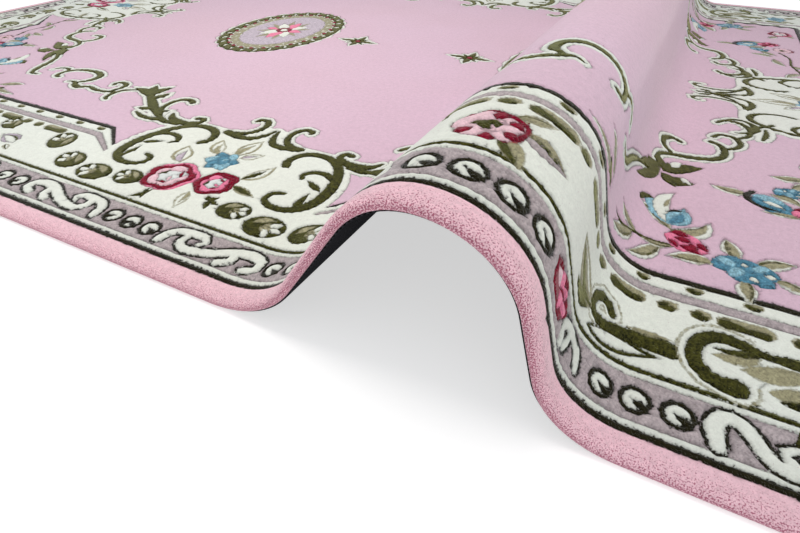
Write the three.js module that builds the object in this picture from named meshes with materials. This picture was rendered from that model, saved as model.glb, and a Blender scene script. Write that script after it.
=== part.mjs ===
import * as THREE from 'three';

// A hand-tufted rug that lies flat but for one wave, which runs across its whole width.
// Millimetres, +X along the rug's length, +Y across it, +Z up from the floor.

// The rug as it is cut, before it is laid
const LENGTH = 2900;
const WIDTH = 2000;

// Its two layers, from the floor up
const BACKING_THICKNESS = 1.5;
const LAYER_GAP = 0.3;
const PILE_THICKNESS = 12.2;
const BACKING_INSET = 5;

// The pile fans out at the rug's edge: how far each level stands in from the widest one
const PILE_EDGE = [
  { inset: 3.5, share: 0 },
  { inset: 0.8, share: 0.2 },
  { inset: 0, share: 0.42 },
  { inset: 1.4, share: 0.68 },
  { inset: 4.6, share: 0.88 },
  { inset: 10, share: 1 },
];
const BACKING_EDGE = [
  { inset: BACKING_INSET, share: 0 },
  { inset: BACKING_INSET, share: 1 },
];

// The wave. Its left foot starts this far to the right of the rug's middle on the front edge,
// and its ridge turns from the rug's width by the skew, to the right towards the back.
const WAVE_START = 211;
const WAVE_SKEW = 2.0;

// The underside of the wave from its left foot to its right one, as arcs and straight runs.
// A bend is in degrees, upwards when positive.
const WAVE_STRETCHES = [
  { name: 'left foot', bend: 56, radius: 154 },
  { name: 'left flank', run: 116 },
  { name: 'left shoulder', bend: -21, radius: 105 },
  { name: 'crest', bend: -35, radius: 80 },
  { name: 'right shoulder', bend: -74, radius: 96 },
  { name: 'right flank', run: 'to close' },
  { name: 'right foot', bend: 74, radius: 94 },
];

// Facets
const BEND_STEP = 5;
const ROWS_ACROSS = 8;

const radians = (degrees) => degrees * Math.PI / 180;

// The rise of an arc that starts at one slope and turns by a bend
function arcRise(slope, bend, radius) {
  return radius * Math.sign(bend) * (Math.cos(slope) - Math.cos(slope + bend));
}

// Gives the straight run marked 'to close' the length that brings the wave back to the floor
function closedStretches(stretches) {
  let slope = 0;
  let height = 0;
  let openSlope = 0;
  for (const stretch of stretches) {
    if (stretch.run === 'to close') {
      openSlope = slope;
    } else if (stretch.run) {
      height += stretch.run * Math.sin(slope);
    } else {
      const bend = radians(stretch.bend);
      height += arcRise(slope, bend, stretch.radius);
      slope += bend;
    }
  }
  const closingRun = -height / Math.sin(openSlope);
  return stretches.map((s) => (s.run === 'to close' ? { ...s, run: closingRun } : s));
}

// Stations along the underside: distance along the cloth, place and slope
function waveStations(stretches) {
  const stations = [{ along: 0, x: 0, z: 0, slope: 0 }];
  for (const stretch of stretches) {
    const last = stations[stations.length - 1];
    if (stretch.run) {
      stations.push({
        along: last.along + stretch.run,
        x: last.x + stretch.run * Math.cos(last.slope),
        z: last.z + stretch.run * Math.sin(last.slope),
        slope: last.slope,
      });
      continue;
    }
    const bend = radians(stretch.bend);
    const turn = Math.sign(bend);
    const steps = Math.ceil(Math.abs(stretch.bend) / BEND_STEP);
    for (let step = 1; step <= steps; step += 1) {
      const slope = last.slope + bend * step / steps;
      stations.push({
        along: last.along + stretch.radius * Math.abs(bend) * step / steps,
        x: last.x + stretch.radius * turn * (Math.sin(slope) - Math.sin(last.slope)),
        z: last.z + stretch.radius * turn * (Math.cos(last.slope) - Math.cos(slope)),
        slope,
      });
    }
  }
  return stations;
}

const STATIONS = waveStations(closedStretches(WAVE_STRETCHES));
const WAVE_END = STATIONS[STATIONS.length - 1];
const TAKEN_UP = WAVE_END.along - WAVE_END.x;
const SKEW = radians(WAVE_SKEW);
const RIDGE = { x: Math.sin(SKEW), y: Math.cos(SKEW) };
const ACROSS_RIDGE = { x: Math.cos(SKEW), y: -Math.sin(SKEW) };

// The middle of the ground that the laid rug covers
const LAID_MIDDLE = {
  x: -TAKEN_UP * ACROSS_RIDGE.x / 2,
  y: (WIDTH - TAKEN_UP * ACROSS_RIDGE.y) / 2,
};

// Where a point of the flat rug comes to lie: column 0 is the left end, the last column is
// the right end, and each column between them lies on one straight line of the wave.
function laidPoint(column, row, inset, height) {
  const v = inset + (WIDTH - 2 * inset) * row / ROWS_ACROSS;
  const lastColumn = STATIONS.length + 1;
  let station = { along: 0, x: 0, z: 0, slope: 0 };
  if (column > 0 && column < lastColumn) {
    station = STATIONS[column - 1];
  } else {
    const end = (column === 0 ? -1 : 1) * (LENGTH / 2 - inset) - WAVE_START;
    const along = end * ACROSS_RIDGE.x + v * ACROSS_RIDGE.y;
    station.x = along - (column === 0 ? 0 : TAKEN_UP);
    station.along = along;
  }
  const u = (station.along - v * ACROSS_RIDGE.y) / ACROSS_RIDGE.x;
  const ridgeDistance = u * RIDGE.x + v * RIDGE.y;
  const across = station.x - height * Math.sin(station.slope);
  return [
    WAVE_START + across * ACROSS_RIDGE.x + ridgeDistance * RIDGE.x - LAID_MIDDLE.x,
    across * ACROSS_RIDGE.y + ridgeDistance * RIDGE.y - LAID_MIDDLE.y,
    station.z + height * Math.cos(station.slope),
  ];
}

// The grid's outline, anticlockwise seen from above
function outlineCells(lastColumn) {
  const cells = [];
  for (let column = 0; column < lastColumn; column += 1) cells.push([column, 0]);
  for (let row = 0; row < ROWS_ACROSS; row += 1) cells.push([lastColumn, row]);
  for (let column = lastColumn; column > 0; column -= 1) cells.push([column, ROWS_ACROSS]);
  for (let row = ROWS_ACROSS; row > 0; row -= 1) cells.push([0, row]);
  return cells;
}

// One layer of the rug as a closed solid: an underside, edge levels and a top
function layerGeometry(edge, bottom, thickness) {
  const lastColumn = STATIONS.length + 1;
  const positions = [];
  const triangles = [];
  const add = (point) => {
    positions.push(...point);
    return positions.length / 3 - 1;
  };
  const grid = (level) => {
    const indices = [];
    for (let column = 0; column <= lastColumn; column += 1) {
      indices.push([]);
      for (let row = 0; row <= ROWS_ACROSS; row += 1) {
        indices[column].push(add(laidPoint(column, row, level.inset, bottom + level.share * thickness)));
      }
    }
    return indices;
  };
  const face = (a, b, c, d) => triangles.push(a, b, c, a, c, d);

  const under = grid(edge[0]);
  const top = grid(edge[edge.length - 1]);
  for (let column = 0; column < lastColumn; column += 1) {
    for (let row = 0; row < ROWS_ACROSS; row += 1) {
      const next = column + 1;
      face(top[column][row], top[next][row], top[next][row + 1], top[column][row + 1]);
      face(under[column][row], under[column][row + 1], under[next][row + 1], under[next][row]);
    }
  }

  const cells = outlineCells(lastColumn);
  const rings = edge.map((level, index) => cells.map(([column, row]) => {
    if (index === 0) return under[column][row];
    if (index === edge.length - 1) return top[column][row];
    return add(laidPoint(column, row, level.inset, bottom + level.share * thickness));
  }));
  for (let index = 0; index + 1 < rings.length; index += 1) {
    const low = rings[index];
    const high = rings[index + 1];
    for (let cell = 0; cell < cells.length; cell += 1) {
      const next = (cell + 1) % cells.length;
      face(low[cell], low[next], high[next], high[cell]);
    }
  }

  const geometry = new THREE.BufferGeometry();
  geometry.setAttribute('position', new THREE.Float32BufferAttribute(positions, 3));
  geometry.setIndex(triangles);
  geometry.computeVertexNormals();
  return geometry;
}

function backingCloth() {
  const geometry = layerGeometry(BACKING_EDGE, 0, BACKING_THICKNESS);
  const material = new THREE.MeshStandardMaterial({ color: 0x2b2b2e, roughness: 0.95, metalness: 0 });
  const mesh = new THREE.Mesh(geometry, material);
  mesh.name = 'backing_cloth';
  return mesh;
}

function pileCarpet() {
  const geometry = layerGeometry(PILE_EDGE, BACKING_THICKNESS + LAYER_GAP, PILE_THICKNESS);
  const material = new THREE.MeshStandardMaterial({ color: 0xdba9bb, roughness: 0.9, metalness: 0 });
  const mesh = new THREE.Mesh(geometry, material);
  mesh.name = 'pile_carpet';
  return mesh;
}

const rug = new THREE.Group();
rug.add(backingCloth(), pileCarpet());

export default rug;
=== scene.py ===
import math

import bpy
import numpy as np
from bpy.props import FloatProperty, FloatVectorProperty, PointerProperty
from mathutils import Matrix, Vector
from mathutils.geometry import delaunay_2d_cdt
from mathutils.kdtree import KDTree


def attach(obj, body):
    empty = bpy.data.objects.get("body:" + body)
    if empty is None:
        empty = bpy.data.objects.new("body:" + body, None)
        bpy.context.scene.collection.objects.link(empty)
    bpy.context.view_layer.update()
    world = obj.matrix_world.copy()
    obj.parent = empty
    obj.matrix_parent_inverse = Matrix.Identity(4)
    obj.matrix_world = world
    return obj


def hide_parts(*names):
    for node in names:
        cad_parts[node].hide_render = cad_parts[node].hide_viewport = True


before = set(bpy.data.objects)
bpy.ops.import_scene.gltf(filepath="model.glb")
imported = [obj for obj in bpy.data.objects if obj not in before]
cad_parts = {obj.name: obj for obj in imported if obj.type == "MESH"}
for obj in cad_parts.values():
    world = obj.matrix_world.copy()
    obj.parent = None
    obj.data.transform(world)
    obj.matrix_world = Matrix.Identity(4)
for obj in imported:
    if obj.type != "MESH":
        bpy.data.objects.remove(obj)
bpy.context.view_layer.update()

bl_info = {
    "name": "Carved scroll rug",
    "version": (1, 0, 0),
    "blender": (4, 5, 0),
    "location": "View3D > Sidebar > Rug",
    "description": "A hand-tufted rug with a carved scroll border, laid with one wave across it",
    "category": "Object",
}

# The rug is drawn and cut in millimetres: u runs along its length from the middle, v across it
# from the front edge, and a lift is the height over the underside of the cloth.
MM = 0.001
LENGTH = 2900.0
WIDTH = 2000.0
HALF_LENGTH = LENGTH / 2
HALF_WIDTH = WIDTH / 2

# Layers
BACKING_THICKNESS = 1.5
LAYER_GAP = 0.3
PILE_BOTTOM = BACKING_THICKNESS + LAYER_GAP
PILE_TOP = 14.0
BACKING_INSET = 5.0

# The rounded edge of the pile, widest part way up
CORNER_RADIUS = 15.0
EDGE_WIDEST = 6.9
EDGE_TOP_INSET = 12.0
EDGE_UNDER_INSET = 4.0
EDGE_TOP_ROWS = 5
EDGE_UNDER_ROWS = 2
EDGE_BAND = 31.0
EDGE_TOP_SHARE = 0.52

# The wave, with the same sizes as the solid that the rug replaces
WAVE_START = 211.0
WAVE_SKEW = math.radians(2.0)
TO_CLOSE = None
WAVE_STRETCHES = (
    # part, bend in degrees or None for a straight run, radius or run
    ("left foot", 56, 154),
    ("left flank", None, 116),
    ("left shoulder", -21, 105),
    ("crest", -35, 80),
    ("right shoulder", -74, 96),
    ("right flank", None, TO_CLOSE),
    ("right foot", 74, 94),
)

# Mesh spacings
OUTLINE_STEP = 10.5
WAVE_STEP = 7.5
WAVE_STEP_ALONG = 60.0
UNDER_STEP_ALONG = 240.0
FLAT_STEP = 60.0
WAVE_ZONE = (195.0, 975.0)
NEAR_POINTS = 0.05
WAVE_REACH = 16.0
SHAPE_TOLERANCE = 0.75
SPAN_TOLERANCE = 0.5
SHORTEST_SPLIT = 3.8
LONG_SPAN = 14.0
LONG_SPAN_TOLERANCE = 0.45
SMALLEST_AREA = 6.0
LATTICE_EDGE_GAP = 6.0
MIDDLES_GAP = 2.5
BORDER_SAMPLE_STEP = 2.5
REFINEMENTS = 2

# Shares of the groove's half width: between the points beside a border, and kept clear round it
BESIDE_GAP = 1.4
BESIDE_CLEAR = 0.6
LATTICE_CLEAR = 2.5


def tone(red, green, blue):
    """A screen colour of 0 to 255 a channel as a linear one."""
    linear = []
    for value in (red, green, blue):
        share = value / 255
        linear.append(share / 12.92 if share <= 0.04045 else ((share + 0.055) / 1.055) ** 2.4)
    return tuple(linear)


# The wave


def wave_runs():
    """The wave as a list of (start, end, across, height, slope, curvature) in millimetres."""
    runs = []
    along, across, height, slope = 0.0, 0.0, 0.0, 0.0
    for _, bend, size in close_wave():
        if bend is None:
            runs.append((along, along + size, across, height, slope, 0.0))
            across += size * math.cos(slope)
            height += size * math.sin(slope)
            along += size
            continue
        turn = math.radians(bend)
        curvature = math.copysign(1 / size, turn)
        runs.append((along, along + size * abs(turn), across, height, slope, curvature))
        across += (math.sin(slope + turn) - math.sin(slope)) / curvature
        height += (math.cos(slope) - math.cos(slope + turn)) / curvature
        slope += turn
        along += size * abs(turn)
    return runs


def close_wave():
    """The stretches, with the last straight run as long as it takes to reach the floor again."""
    height, slope, open_slope = 0.0, 0.0, 0.0
    for _, bend, size in WAVE_STRETCHES:
        if size is TO_CLOSE:
            open_slope = slope
        elif bend is None:
            height += size * math.sin(slope)
        else:
            turn = math.radians(bend)
            height += math.copysign(size, turn) * (math.cos(slope) - math.cos(slope + turn))
            slope += turn
    run = -height / math.sin(open_slope)
    return [(part, bend, run if size is TO_CLOSE else size) for part, bend, size in WAVE_STRETCHES]


WAVE_RUNS = wave_runs()
WAVE_END = WAVE_RUNS[-1][1]


def wave_profile(along):
    """Place across, height and slope of the underside, a distance along it from the left foot."""
    last = WAVE_RUNS[-1]
    end_across = last[2] + (math.sin(0) - math.sin(last[4])) / last[5]
    across = np.where(along < 0, along, along - WAVE_END + end_across)
    height = np.zeros_like(across)
    slope = np.zeros_like(across)
    for start, end, x, z, lean, curvature in WAVE_RUNS:
        here = (along >= start) & (along <= end)
        run = along[here] - start
        if curvature == 0:
            across[here] = x + run * math.cos(lean)
            height[here] = z + run * math.sin(lean)
            slope[here] = lean
        else:
            turned = lean + run * curvature
            across[here] = x + (np.sin(turned) - math.sin(lean)) / curvature
            height[here] = z + (math.cos(lean) - np.cos(turned)) / curvature
            slope[here] = turned
    return across, height, slope


def along_wave(flat):
    """Distances of flat places from the wave's left foot, square to its ridge."""
    return (flat[:, 0] - WAVE_START) * math.cos(WAVE_SKEW) - flat[:, 1] * math.sin(WAVE_SKEW)


def laid(flat, lift):
    """Where flat places come to lie in the frame, in metres."""
    cos, sin = math.cos(WAVE_SKEW), math.sin(WAVE_SKEW)
    across, height, slope = wave_profile(along_wave(flat))
    ridge = (flat[:, 0] - WAVE_START) * sin + flat[:, 1] * cos
    across = across - lift * np.sin(slope)
    taken_up = WAVE_END - wave_profile(np.array([WAVE_END]))[0][0]
    x = WAVE_START + across * cos + ridge * sin + taken_up * cos / 2
    y = -across * sin + ridge * cos - (WIDTH + taken_up * sin) / 2
    z = height + lift * np.cos(slope)
    return np.stack([x, y, z], 1) * MM


def wave_normals(flat):
    """Unit normals of the laid cloth."""
    _, _, slope = wave_profile(along_wave(flat))
    lean = -np.sin(slope)
    return np.stack([lean * math.cos(WAVE_SKEW), -lean * math.sin(WAVE_SKEW), np.cos(slope)], 1)


# Outlines of yarn areas, as arrays of points in millimetres


def through(points, step=OUTLINE_STEP):
    """A smooth line through the points, with a vertex about every step."""
    points = np.asarray(points, float)
    ends = np.vstack([2 * points[0] - points[1], points, 2 * points[-1] - points[-2]])
    line = []
    for before, start, end, after in zip(ends, ends[1:], ends[2:], ends[3:]):
        count = max(1, round(float(np.linalg.norm(end - start)) / step))
        t = np.arange(count)[:, None] / count
        bend = 2 * before - 5 * start + 4 * end - after
        twist = 3 * start - before - 3 * end + after
        line.append(start + ((end - before) * t + bend * t**2 + twist * t**3) / 2)
    return np.vstack([*line, points[-1:]])


def round_end(centre, heading, radius, step):
    """The round end of a ribbon, from its left side to its right one."""
    count = max(2, round(math.pi * radius / min(step, 0.9 * radius)))
    angle = math.pi / 2 - math.pi * np.arange(1, count)[:, None] / count
    left = np.array([-heading[1], heading[0]])
    return centre + radius * (np.cos(angle) * heading + np.sin(angle) * left)


def ribbon(points, widths, step=OUTLINE_STEP):
    """A ribbon along a smooth line. Its widths are spread evenly from its start to its end."""
    line = through(points, step)
    gaps = np.linalg.norm(np.diff(line, axis=0), axis=1)
    share = np.concatenate([[0], np.cumsum(gaps)]) / gaps.sum()
    half = np.interp(share, np.linspace(0, 1, len(widths)), widths)[:, None] / 2
    heading = np.gradient(line, axis=0)
    heading /= np.linalg.norm(heading, axis=1)[:, None]
    left = np.stack([-heading[:, 1], heading[:, 0]], 1) * half
    far = round_end(line[-1], heading[-1], half[-1, 0], step)
    near = round_end(line[0], -heading[0], half[0, 0], step)
    return np.vstack([line + left, far, (line - left)[::-1], near])


def leaf(base, tip, width, bow=0.0, low=-1.0, high=1.0, step=OUTLINE_STEP):
    """A pointed leaf. Its bow is how far the middle line bends to the left, a share of its length.

    Low and high pick a strip of the leaf, from -1 at its right side to 1 at its left one.
    """
    base = np.asarray(base, float)
    run = np.asarray(tip, float) - base
    side = np.array([-run[1], run[0]]) * bow
    count = max(4, round(float(np.linalg.norm(run)) / step))
    t = np.arange(count + 1)[:, None] / count
    middle = base + run * t + side * 4 * t * (1 - t)
    heading = run + side * 4 * (1 - 2 * t)
    heading /= np.linalg.norm(heading, axis=1)[:, None]
    half = width / 2 * np.sin(math.pi * t**0.85)
    left = np.stack([-heading[:, 1], heading[:, 0]], 1) * half
    return np.vstack([middle + left * high, (middle + left * low)[-2:0:-1]])


def blob(centre, radii, turn=0.0, lobes=0, depth=0.0, step=OUTLINE_STEP):
    """An ellipse, or a flower outline with lobes that swell by depth, a share of its radius."""
    count = max(10, lobes * 5, round(math.pi * (radii[0] + radii[1]) / step))
    angle = math.tau * np.arange(count) / count
    swell = 1 + depth * np.abs(np.cos(lobes * angle / 2)) * 2 - depth if lobes else 1
    x, y = radii[0] * np.cos(angle) * swell, radii[1] * np.sin(angle) * swell
    cos, sin = math.cos(math.radians(turn)), math.sin(math.radians(turn))
    return np.stack([centre[0] + x * cos - y * sin, centre[1] + x * sin + y * cos], 1)


# The drawing: yarn areas in painter's order

FOUR = ((1, 1), (-1, 1), (1, -1), (-1, -1))
SIDEWAYS_PAIR = ((1, 1), (-1, 1))
ACROSS_PAIR = ((1, 1), (1, -1))

# How far a meander's dark rim and a scroll's cream ground stand out past the band
RIM = 3.2
HALO = 8.5


class Drawing:
    """The rug's full-size drawing, as outlines with a yarn each, on the flat rug."""

    def __init__(self):
        self.areas = []
        self.names = []

    def add(self, outline, yarn, part):
        name = (yarn, part)
        if name not in self.names:
            self.names.append(name)
        self.areas.append((np.asarray(outline, float), self.names.index(name)))


def on_long_side(points):
    """Places by the front edge, from (along, depth) measured from the middle of that side."""
    return np.asarray(points, float)


def on_short_side(points):
    """Places by the right end, from (along, depth) measured from the middle of that side."""
    points = np.asarray(points, float)
    return np.stack([HALF_LENGTH - points[:, 1], HALF_WIDTH - points[:, 0]], 1)


class Pen:
    """Draws areas in one place of the rug and repeats them by mirroring."""

    def __init__(self, drawing, place=on_long_side, mirrors=FOUR):
        self.drawing = drawing
        self.place = place
        self.mirrors = mirrors

    def area(self, outline, yarn, part=""):
        flat = self.place(outline)
        for lengthwise, crosswise in self.mirrors:
            u = flat[:, 0] * lengthwise
            v = HALF_WIDTH + (flat[:, 1] - HALF_WIDTH) * crosswise
            self.drawing.add(np.stack([u, v], 1), yarn, part)

    def veined(self, base, tip, width, outer, inner, bow=0.0):
        """A leaf of one yarn, with a strip of another and an olive rib left of its middle."""
        base, run = np.asarray(base, float), np.subtract(tip, base)
        end = base + 0.9 * run
        self.area(leaf(base, tip, width, bow), outer, "leaf")
        self.area(leaf(base, end, width, bow, -0.6, 0.7), inner, "vein")
        if inner != "olive":
            self.area(leaf(base, end, width, bow, 0.36, 0.6), "olive")

    def outlined(self, base, tip, width, light, bow=0.0):
        """A cream leaf in a thin khaki outline, with a shaded foot."""
        base, run = np.asarray(base, float), np.subtract(tip, base)
        self.area(leaf(base, tip, width, bow), "khaki", "leaf")
        self.area(leaf(base + 0.08 * run, base + 0.92 * run, width, bow, -0.74, 0.74), "cream", "leaf")
        self.area(leaf(base, base + 0.7 * run, width, bow, -0.1, 0.6), light, "vein")


# Frames and plain bands, all nested in the rug's outline

FRAME_LINES = (
    # yarn, how far its outer side stands in from the rug's edge
    ("edge", 0.0),
    ("dark", 31.0),
    ("cream", 38.5),
    ("grey", 46.5),
    ("cream", 100.0),
    ("olive", 108.5),
    ("cream", 114.0),
    ("grey", 240.0),
    ("cream", 254.5),
    ("dark", 275.0),
    ("field", 285.0),
)
BAY_FROM = 232.0
BAY_START = 296.0
BAY_FOOT = 200.0
BAY_DEPTH = 205.0
BAY_SHRINK = 0.3
BAY_CORNER = 288.0


def frame_corner(inset, bayed):
    """The quarter of a frame line from the middle of the long side to the middle of the short one."""
    corner = [(HALF_LENGTH - inset, inset)]
    if not bayed:
        return [(0, inset), *corner, (HALF_LENGTH - inset, HALF_WIDTH)]
    depth = BAY_DEPTH - (BAY_CORNER - inset) * BAY_SHRINK
    bay = [(0, depth), (BAY_FOOT, depth), (BAY_START, inset)]
    end = [(HALF_LENGTH - depth_along, HALF_WIDTH - along) for along, depth_along in bay]
    return [*bay, *corner, *end[::-1]]


def frame_outline(inset):
    """A whole frame line, closed."""
    quarter = np.array(frame_corner(inset, inset > BAY_FROM), float)
    right = np.vstack([quarter, (quarter * (1, -1) + (0, WIDTH))[-2::-1]])
    return np.vstack([right, (right * (-1, 1))[-2:0:-1]])


def draw_frames(drawing):
    for yarn, inset in FRAME_LINES:
        drawing.add(frame_outline(inset), yarn, "ground" if yarn == "cream" else "")


# Guard border: beads in threes, meander ribbons and small flowers

GUARD_DEPTH = 72.0
BEAD_RIM = 17.2
BEAD_RADIUS = 12.2
NARROW_MEANDER = (
    # lines from the middle of the ribbon, and its widths
    (((-72, -19), (-76, 2), (-68, 17), (-52, 16), (-40, 0), (-28, -15), (-8, -17), (12, -8), (30, 8),
      (48, 16), (66, 14), (76, 2), (74, -12)),
     (14, 18, 17, 16, 15, 15, 15, 14, 15, 16, 16, 15, 12)),
    (((-12, -12), (-20, 2), (-8, 9), (2, 5)), (13, 12, 10, 8)),
    (((46, 12), (44, -2), (36, -16)), (12, 13, 14)),
)
WIDE_MEANDER = (
    (((-84, -14), (-80, 4), (-66, 16), (-46, 18), (-26, 18), (-17, 9), (-24, 2)),
     (14, 15, 15, 15, 16, 13, 9)),
    (((-50, 14), (-53, 0), (-42, -12), (-20, -12), (8, -3), (34, 11), (60, 16), (80, 9), (82, -5), (64, -14)),
     (13, 13, 15, 16, 16, 17, 18, 17, 15, 13)),
    (((38, 8), (38, -7), (24, -16)), (13, 14, 14)),
)
HOOK = (
    (((-24, -18), (-26, 4), (-14, 16), (6, 17), (20, 7), (24, -12)), (12, 13, 14, 15, 13, 9)),
    (((-2, 14), (-4, 2), (-12, -12)), (10, 11, 12)),
)
LONG_BEADS = (0, 37, 260, 299, 544, 582, 620, 658, 846, 885, 924, 1141, 1180, 1219)
LONG_MEANDERS = ((150, WIDE_MEANDER), (422, WIDE_MEANDER), (1030, NARROW_MEANDER))
LONG_FLOWERS = (717, 1373)
LONG_HOOKS = (785, 1290)
SHORT_BEADS = (108, 147, 186, 403, 442, 481, 698, 737, 776)
SHORT_MEANDERS = ((0, NARROW_MEANDER), (295, NARROW_MEANDER), (590, NARROW_MEANDER))
SHORT_HOOKS = (842,)


def shifted(points, along, depth):
    return [(x + along, y + depth) for x, y in points]


def bead(pen, along):
    """A cream bead with a dark rim that runs into it as a small notch."""
    pen.area(blob((along, GUARD_DEPTH), (BEAD_RIM, BEAD_RIM)), "dark", "rim")
    pen.area(blob((along, GUARD_DEPTH), (BEAD_RADIUS, BEAD_RADIUS)), "cream", "bead")
    notch = leaf((along + 16, GUARD_DEPTH - 10), (along - 3, GUARD_DEPTH + 1), 9)
    pen.area(notch, "dark", "rim")


def meander(pen, along, lines):
    """Cream ribbons with a thin dark rim, which run into each other."""
    for yarn, part, extra in (("dark", "rim", 2 * RIM), ("cream", "meander", 0.0)):
        for line, widths in lines:
            wider = [width + extra for width in widths]
            pen.area(ribbon(shifted(line, along, GUARD_DEPTH), wider), yarn, part)


def guard_flower(pen, along):
    """A small pink flower that interrupts the guard border."""
    centre = (along, GUARD_DEPTH + 4)
    pen.area(blob(centre, (33, 21), 8, 5, 0.12), "crimson", "guard flower")
    petals = ((175, 15, "blush"), (115, 11, "rose"), (45, 15, "rose"), (-5, 19, "rose"), (-70, 9, "rose"))
    for turn, reach, yarn in petals:
        x, y = reach * math.cos(math.radians(turn)), reach * 0.7 * math.sin(math.radians(turn))
        pen.area(blob((centre[0] + x, centre[1] + y), (12, 8), turn), yarn, "guard petal")
    eye = leaf((along - 6, GUARD_DEPTH + 2), (along + 22, GUARD_DEPTH + 8), 6, 0.1)
    pen.area(eye, "crimson", "guard eye")


def draw_guard(drawing):
    long_side = Pen(drawing)
    short_side = Pen(drawing, on_short_side)
    for pen, meanders in ((long_side, LONG_MEANDERS), (short_side, SHORT_MEANDERS)):
        for along, lines in meanders:
            meander(pen, along, lines)
    for pen, hooks in ((long_side, LONG_HOOKS), (short_side, SHORT_HOOKS)):
        for along in hooks:
            meander(pen, along, HOOK)
    for pen, beads in ((long_side, LONG_BEADS), (short_side, SHORT_BEADS)):
        for along in beads:
            bead(pen, along)
    for along in LONG_FLOWERS:
        guard_flower(long_side, along)


# Flowers and leaves


def rose(pen, centre, size, yarns, turn=0.0):
    """An open rose: a bright halo, a deep rim, pale petals and a light heart. Yarns in that order."""
    halo, rim, petal, heart = yarns
    def at(angle, reach):
        angle = math.radians(turn + angle)
        return centre[0] + size * reach * math.cos(angle), centre[1] + size * reach * math.sin(angle)

    pen.area(blob(at(8, 0.08), (size * 0.98, size * 0.92), turn, 5, 0.08), halo, "rose halo")
    pen.area(blob(centre, (size * 0.86, size * 0.8), turn, 5, 0.13), rim, f"rose {rim}")
    for number, reach in enumerate((0.4, 0.46, 0.36, 0.44, 0.4)):
        outline = blob(at(72 * number, reach), (size * 0.3, size * 0.34), turn + 72 * number)
        pen.area(outline, petal, f"rose {petal}")
    pen.area(blob(centre, (size * 0.42, size * 0.38), turn + 36), petal, f"rose {petal}")
    breadth = size * (0.34 if heart == "olive" else 0.46)
    pen.area(blob(at(30, 0.06), (breadth, breadth * 0.7), turn + 20, 3, 0.25), heart, "rose heart")
    pen.area(leaf(at(-70, 0.34), at(15, 0.1), size * 0.16, 0.1), petal, f"rose {petal}")
    for angle, reach, spread, yarn in ((20, 0.46, 46, rim), (140, 0.4, 54, "olive"), (258, 0.42, 50, rim)):
        fold = [at(angle - spread / 2, reach), at(angle, reach * 0.86), at(angle + spread / 2, reach * 1.1)]
        pen.area(ribbon(fold, (size * 0.07, size * 0.13, size * 0.07)), yarn, "rose fold")


def star_flower(pen, centre, size, petals=5, turn=0.0):
    """A flat blue flower of pointed petals, light and deep by turns."""
    for number in range(petals):
        angle = math.radians(turn + 360 * number / petals)
        tip = (centre[0] + size * math.cos(angle), centre[1] + size * math.sin(angle))
        pen.area(leaf(centre, tip, size * 0.85), "sky" if number % 2 else "blue", "petal")
    pen.area(blob(centre, (size * 0.46, size * 0.42), turn), "blue", "petal")
    spark = (centre[0] + size * 0.4 * math.cos(math.radians(turn + 40)),
             centre[1] + size * 0.4 * math.sin(math.radians(turn + 40)))
    pen.area(leaf(centre, spark, size * 0.24), "sky", "petal")


def round_flower(pen, centre, size, turn=0.0):
    """A full blue flower with lighter patches and cream sparks."""
    def at(angle, reach):
        angle = math.radians(turn + angle)
        return centre[0] + size * reach * math.cos(angle), centre[1] + size * reach * 0.72 * math.sin(angle)

    petals = ((165, 0.46, 0.52), (30, 0.42, 0.54), (-32, 0.62, 0.4), (100, 0.3, 0.5), (-100, 0.3, 0.5))
    for angle, reach, length in petals:
        petal = blob(at(angle, reach), (size * length, size * length * 0.74), turn + angle / 3)
        pen.area(petal, "blue", "petal")
    for angle, reach, length in ((160, 0.56, 0.3), (-110, 0.36, 0.3), (50, 0.56, 0.26)):
        pen.area(blob(at(angle, reach), (size * length, size * length * 0.6), turn + angle), "sky", "petal")
    for angle, reach, length in ((95, 0.4, 0.26), (-52, 0.56, 0.4), (8, 0.72, 0.32)):
        start, end = at(angle, reach - length / 2), at(angle + 8, reach + length / 2)
        pen.area(leaf(start, end, size * 0.24), "cream", "spark")


def cut_oval(pen, centre, radii, turn):
    """An olive oval with a khaki cheek and three cream lobes on the side away from the middle."""
    def at(x, y):
        cos, sin = math.cos(math.radians(turn)), math.sin(math.radians(turn))
        x, y = x * radii[0], y * radii[1]
        return centre[0] + x * cos - y * sin, centre[1] + x * sin + y * cos

    pen.area(blob(centre, radii, turn), "olive")
    pen.area(leaf(at(-0.62, 0.1), at(0.3, 0.66), radii[1] * 0.5, 0.12), "khaki", "cheek")
    for angle, reach in ((38, 0.58), (-12, 0.62), (-64, 0.56)):
        x, y = math.cos(math.radians(angle)), math.sin(math.radians(angle))
        pen.area(leaf(at(x * 0.1 - 0.2, y * 0.1), at(x * 0.7, y * 0.7), radii[1] * 0.26), "khaki", "streak")
        lobe = blob(at(x * reach, y * reach), (radii[0] * 0.27, radii[1] * 0.23), turn + angle)
        pen.area(lobe, "cream", "lobe")


# Main border

OVALS = (
    # along, depth, half length, half width, turn
    (112, 160, 28, 22, 8), (179, 147, 34, 25, 4), (252, 157, 31, 25, 24), (334, 199, 33, 25, 52),
    (492, 204, 27, 19, 30),
)
LONG_DASHES = (390, 525, 620, 715, 850, 985, 1120)
SHORT_DASHES = (440, 475, 572, 663, 762, 797, 905, 940, 1040, 1075)
DASH_DEPTH = 225.0
TOOTH_DEPTH = 266.5
TOOTH_FIRST = 312.0
TOOTH_GAP = 62.0
ROSE_PINK = ("rose", "crimson", "blush", "white")
ROSE_PALE = ("crimson", "blush", "blush", "olive")
ROSE_DEEP = ("crimson", "crimson", "rose", "white")

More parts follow.
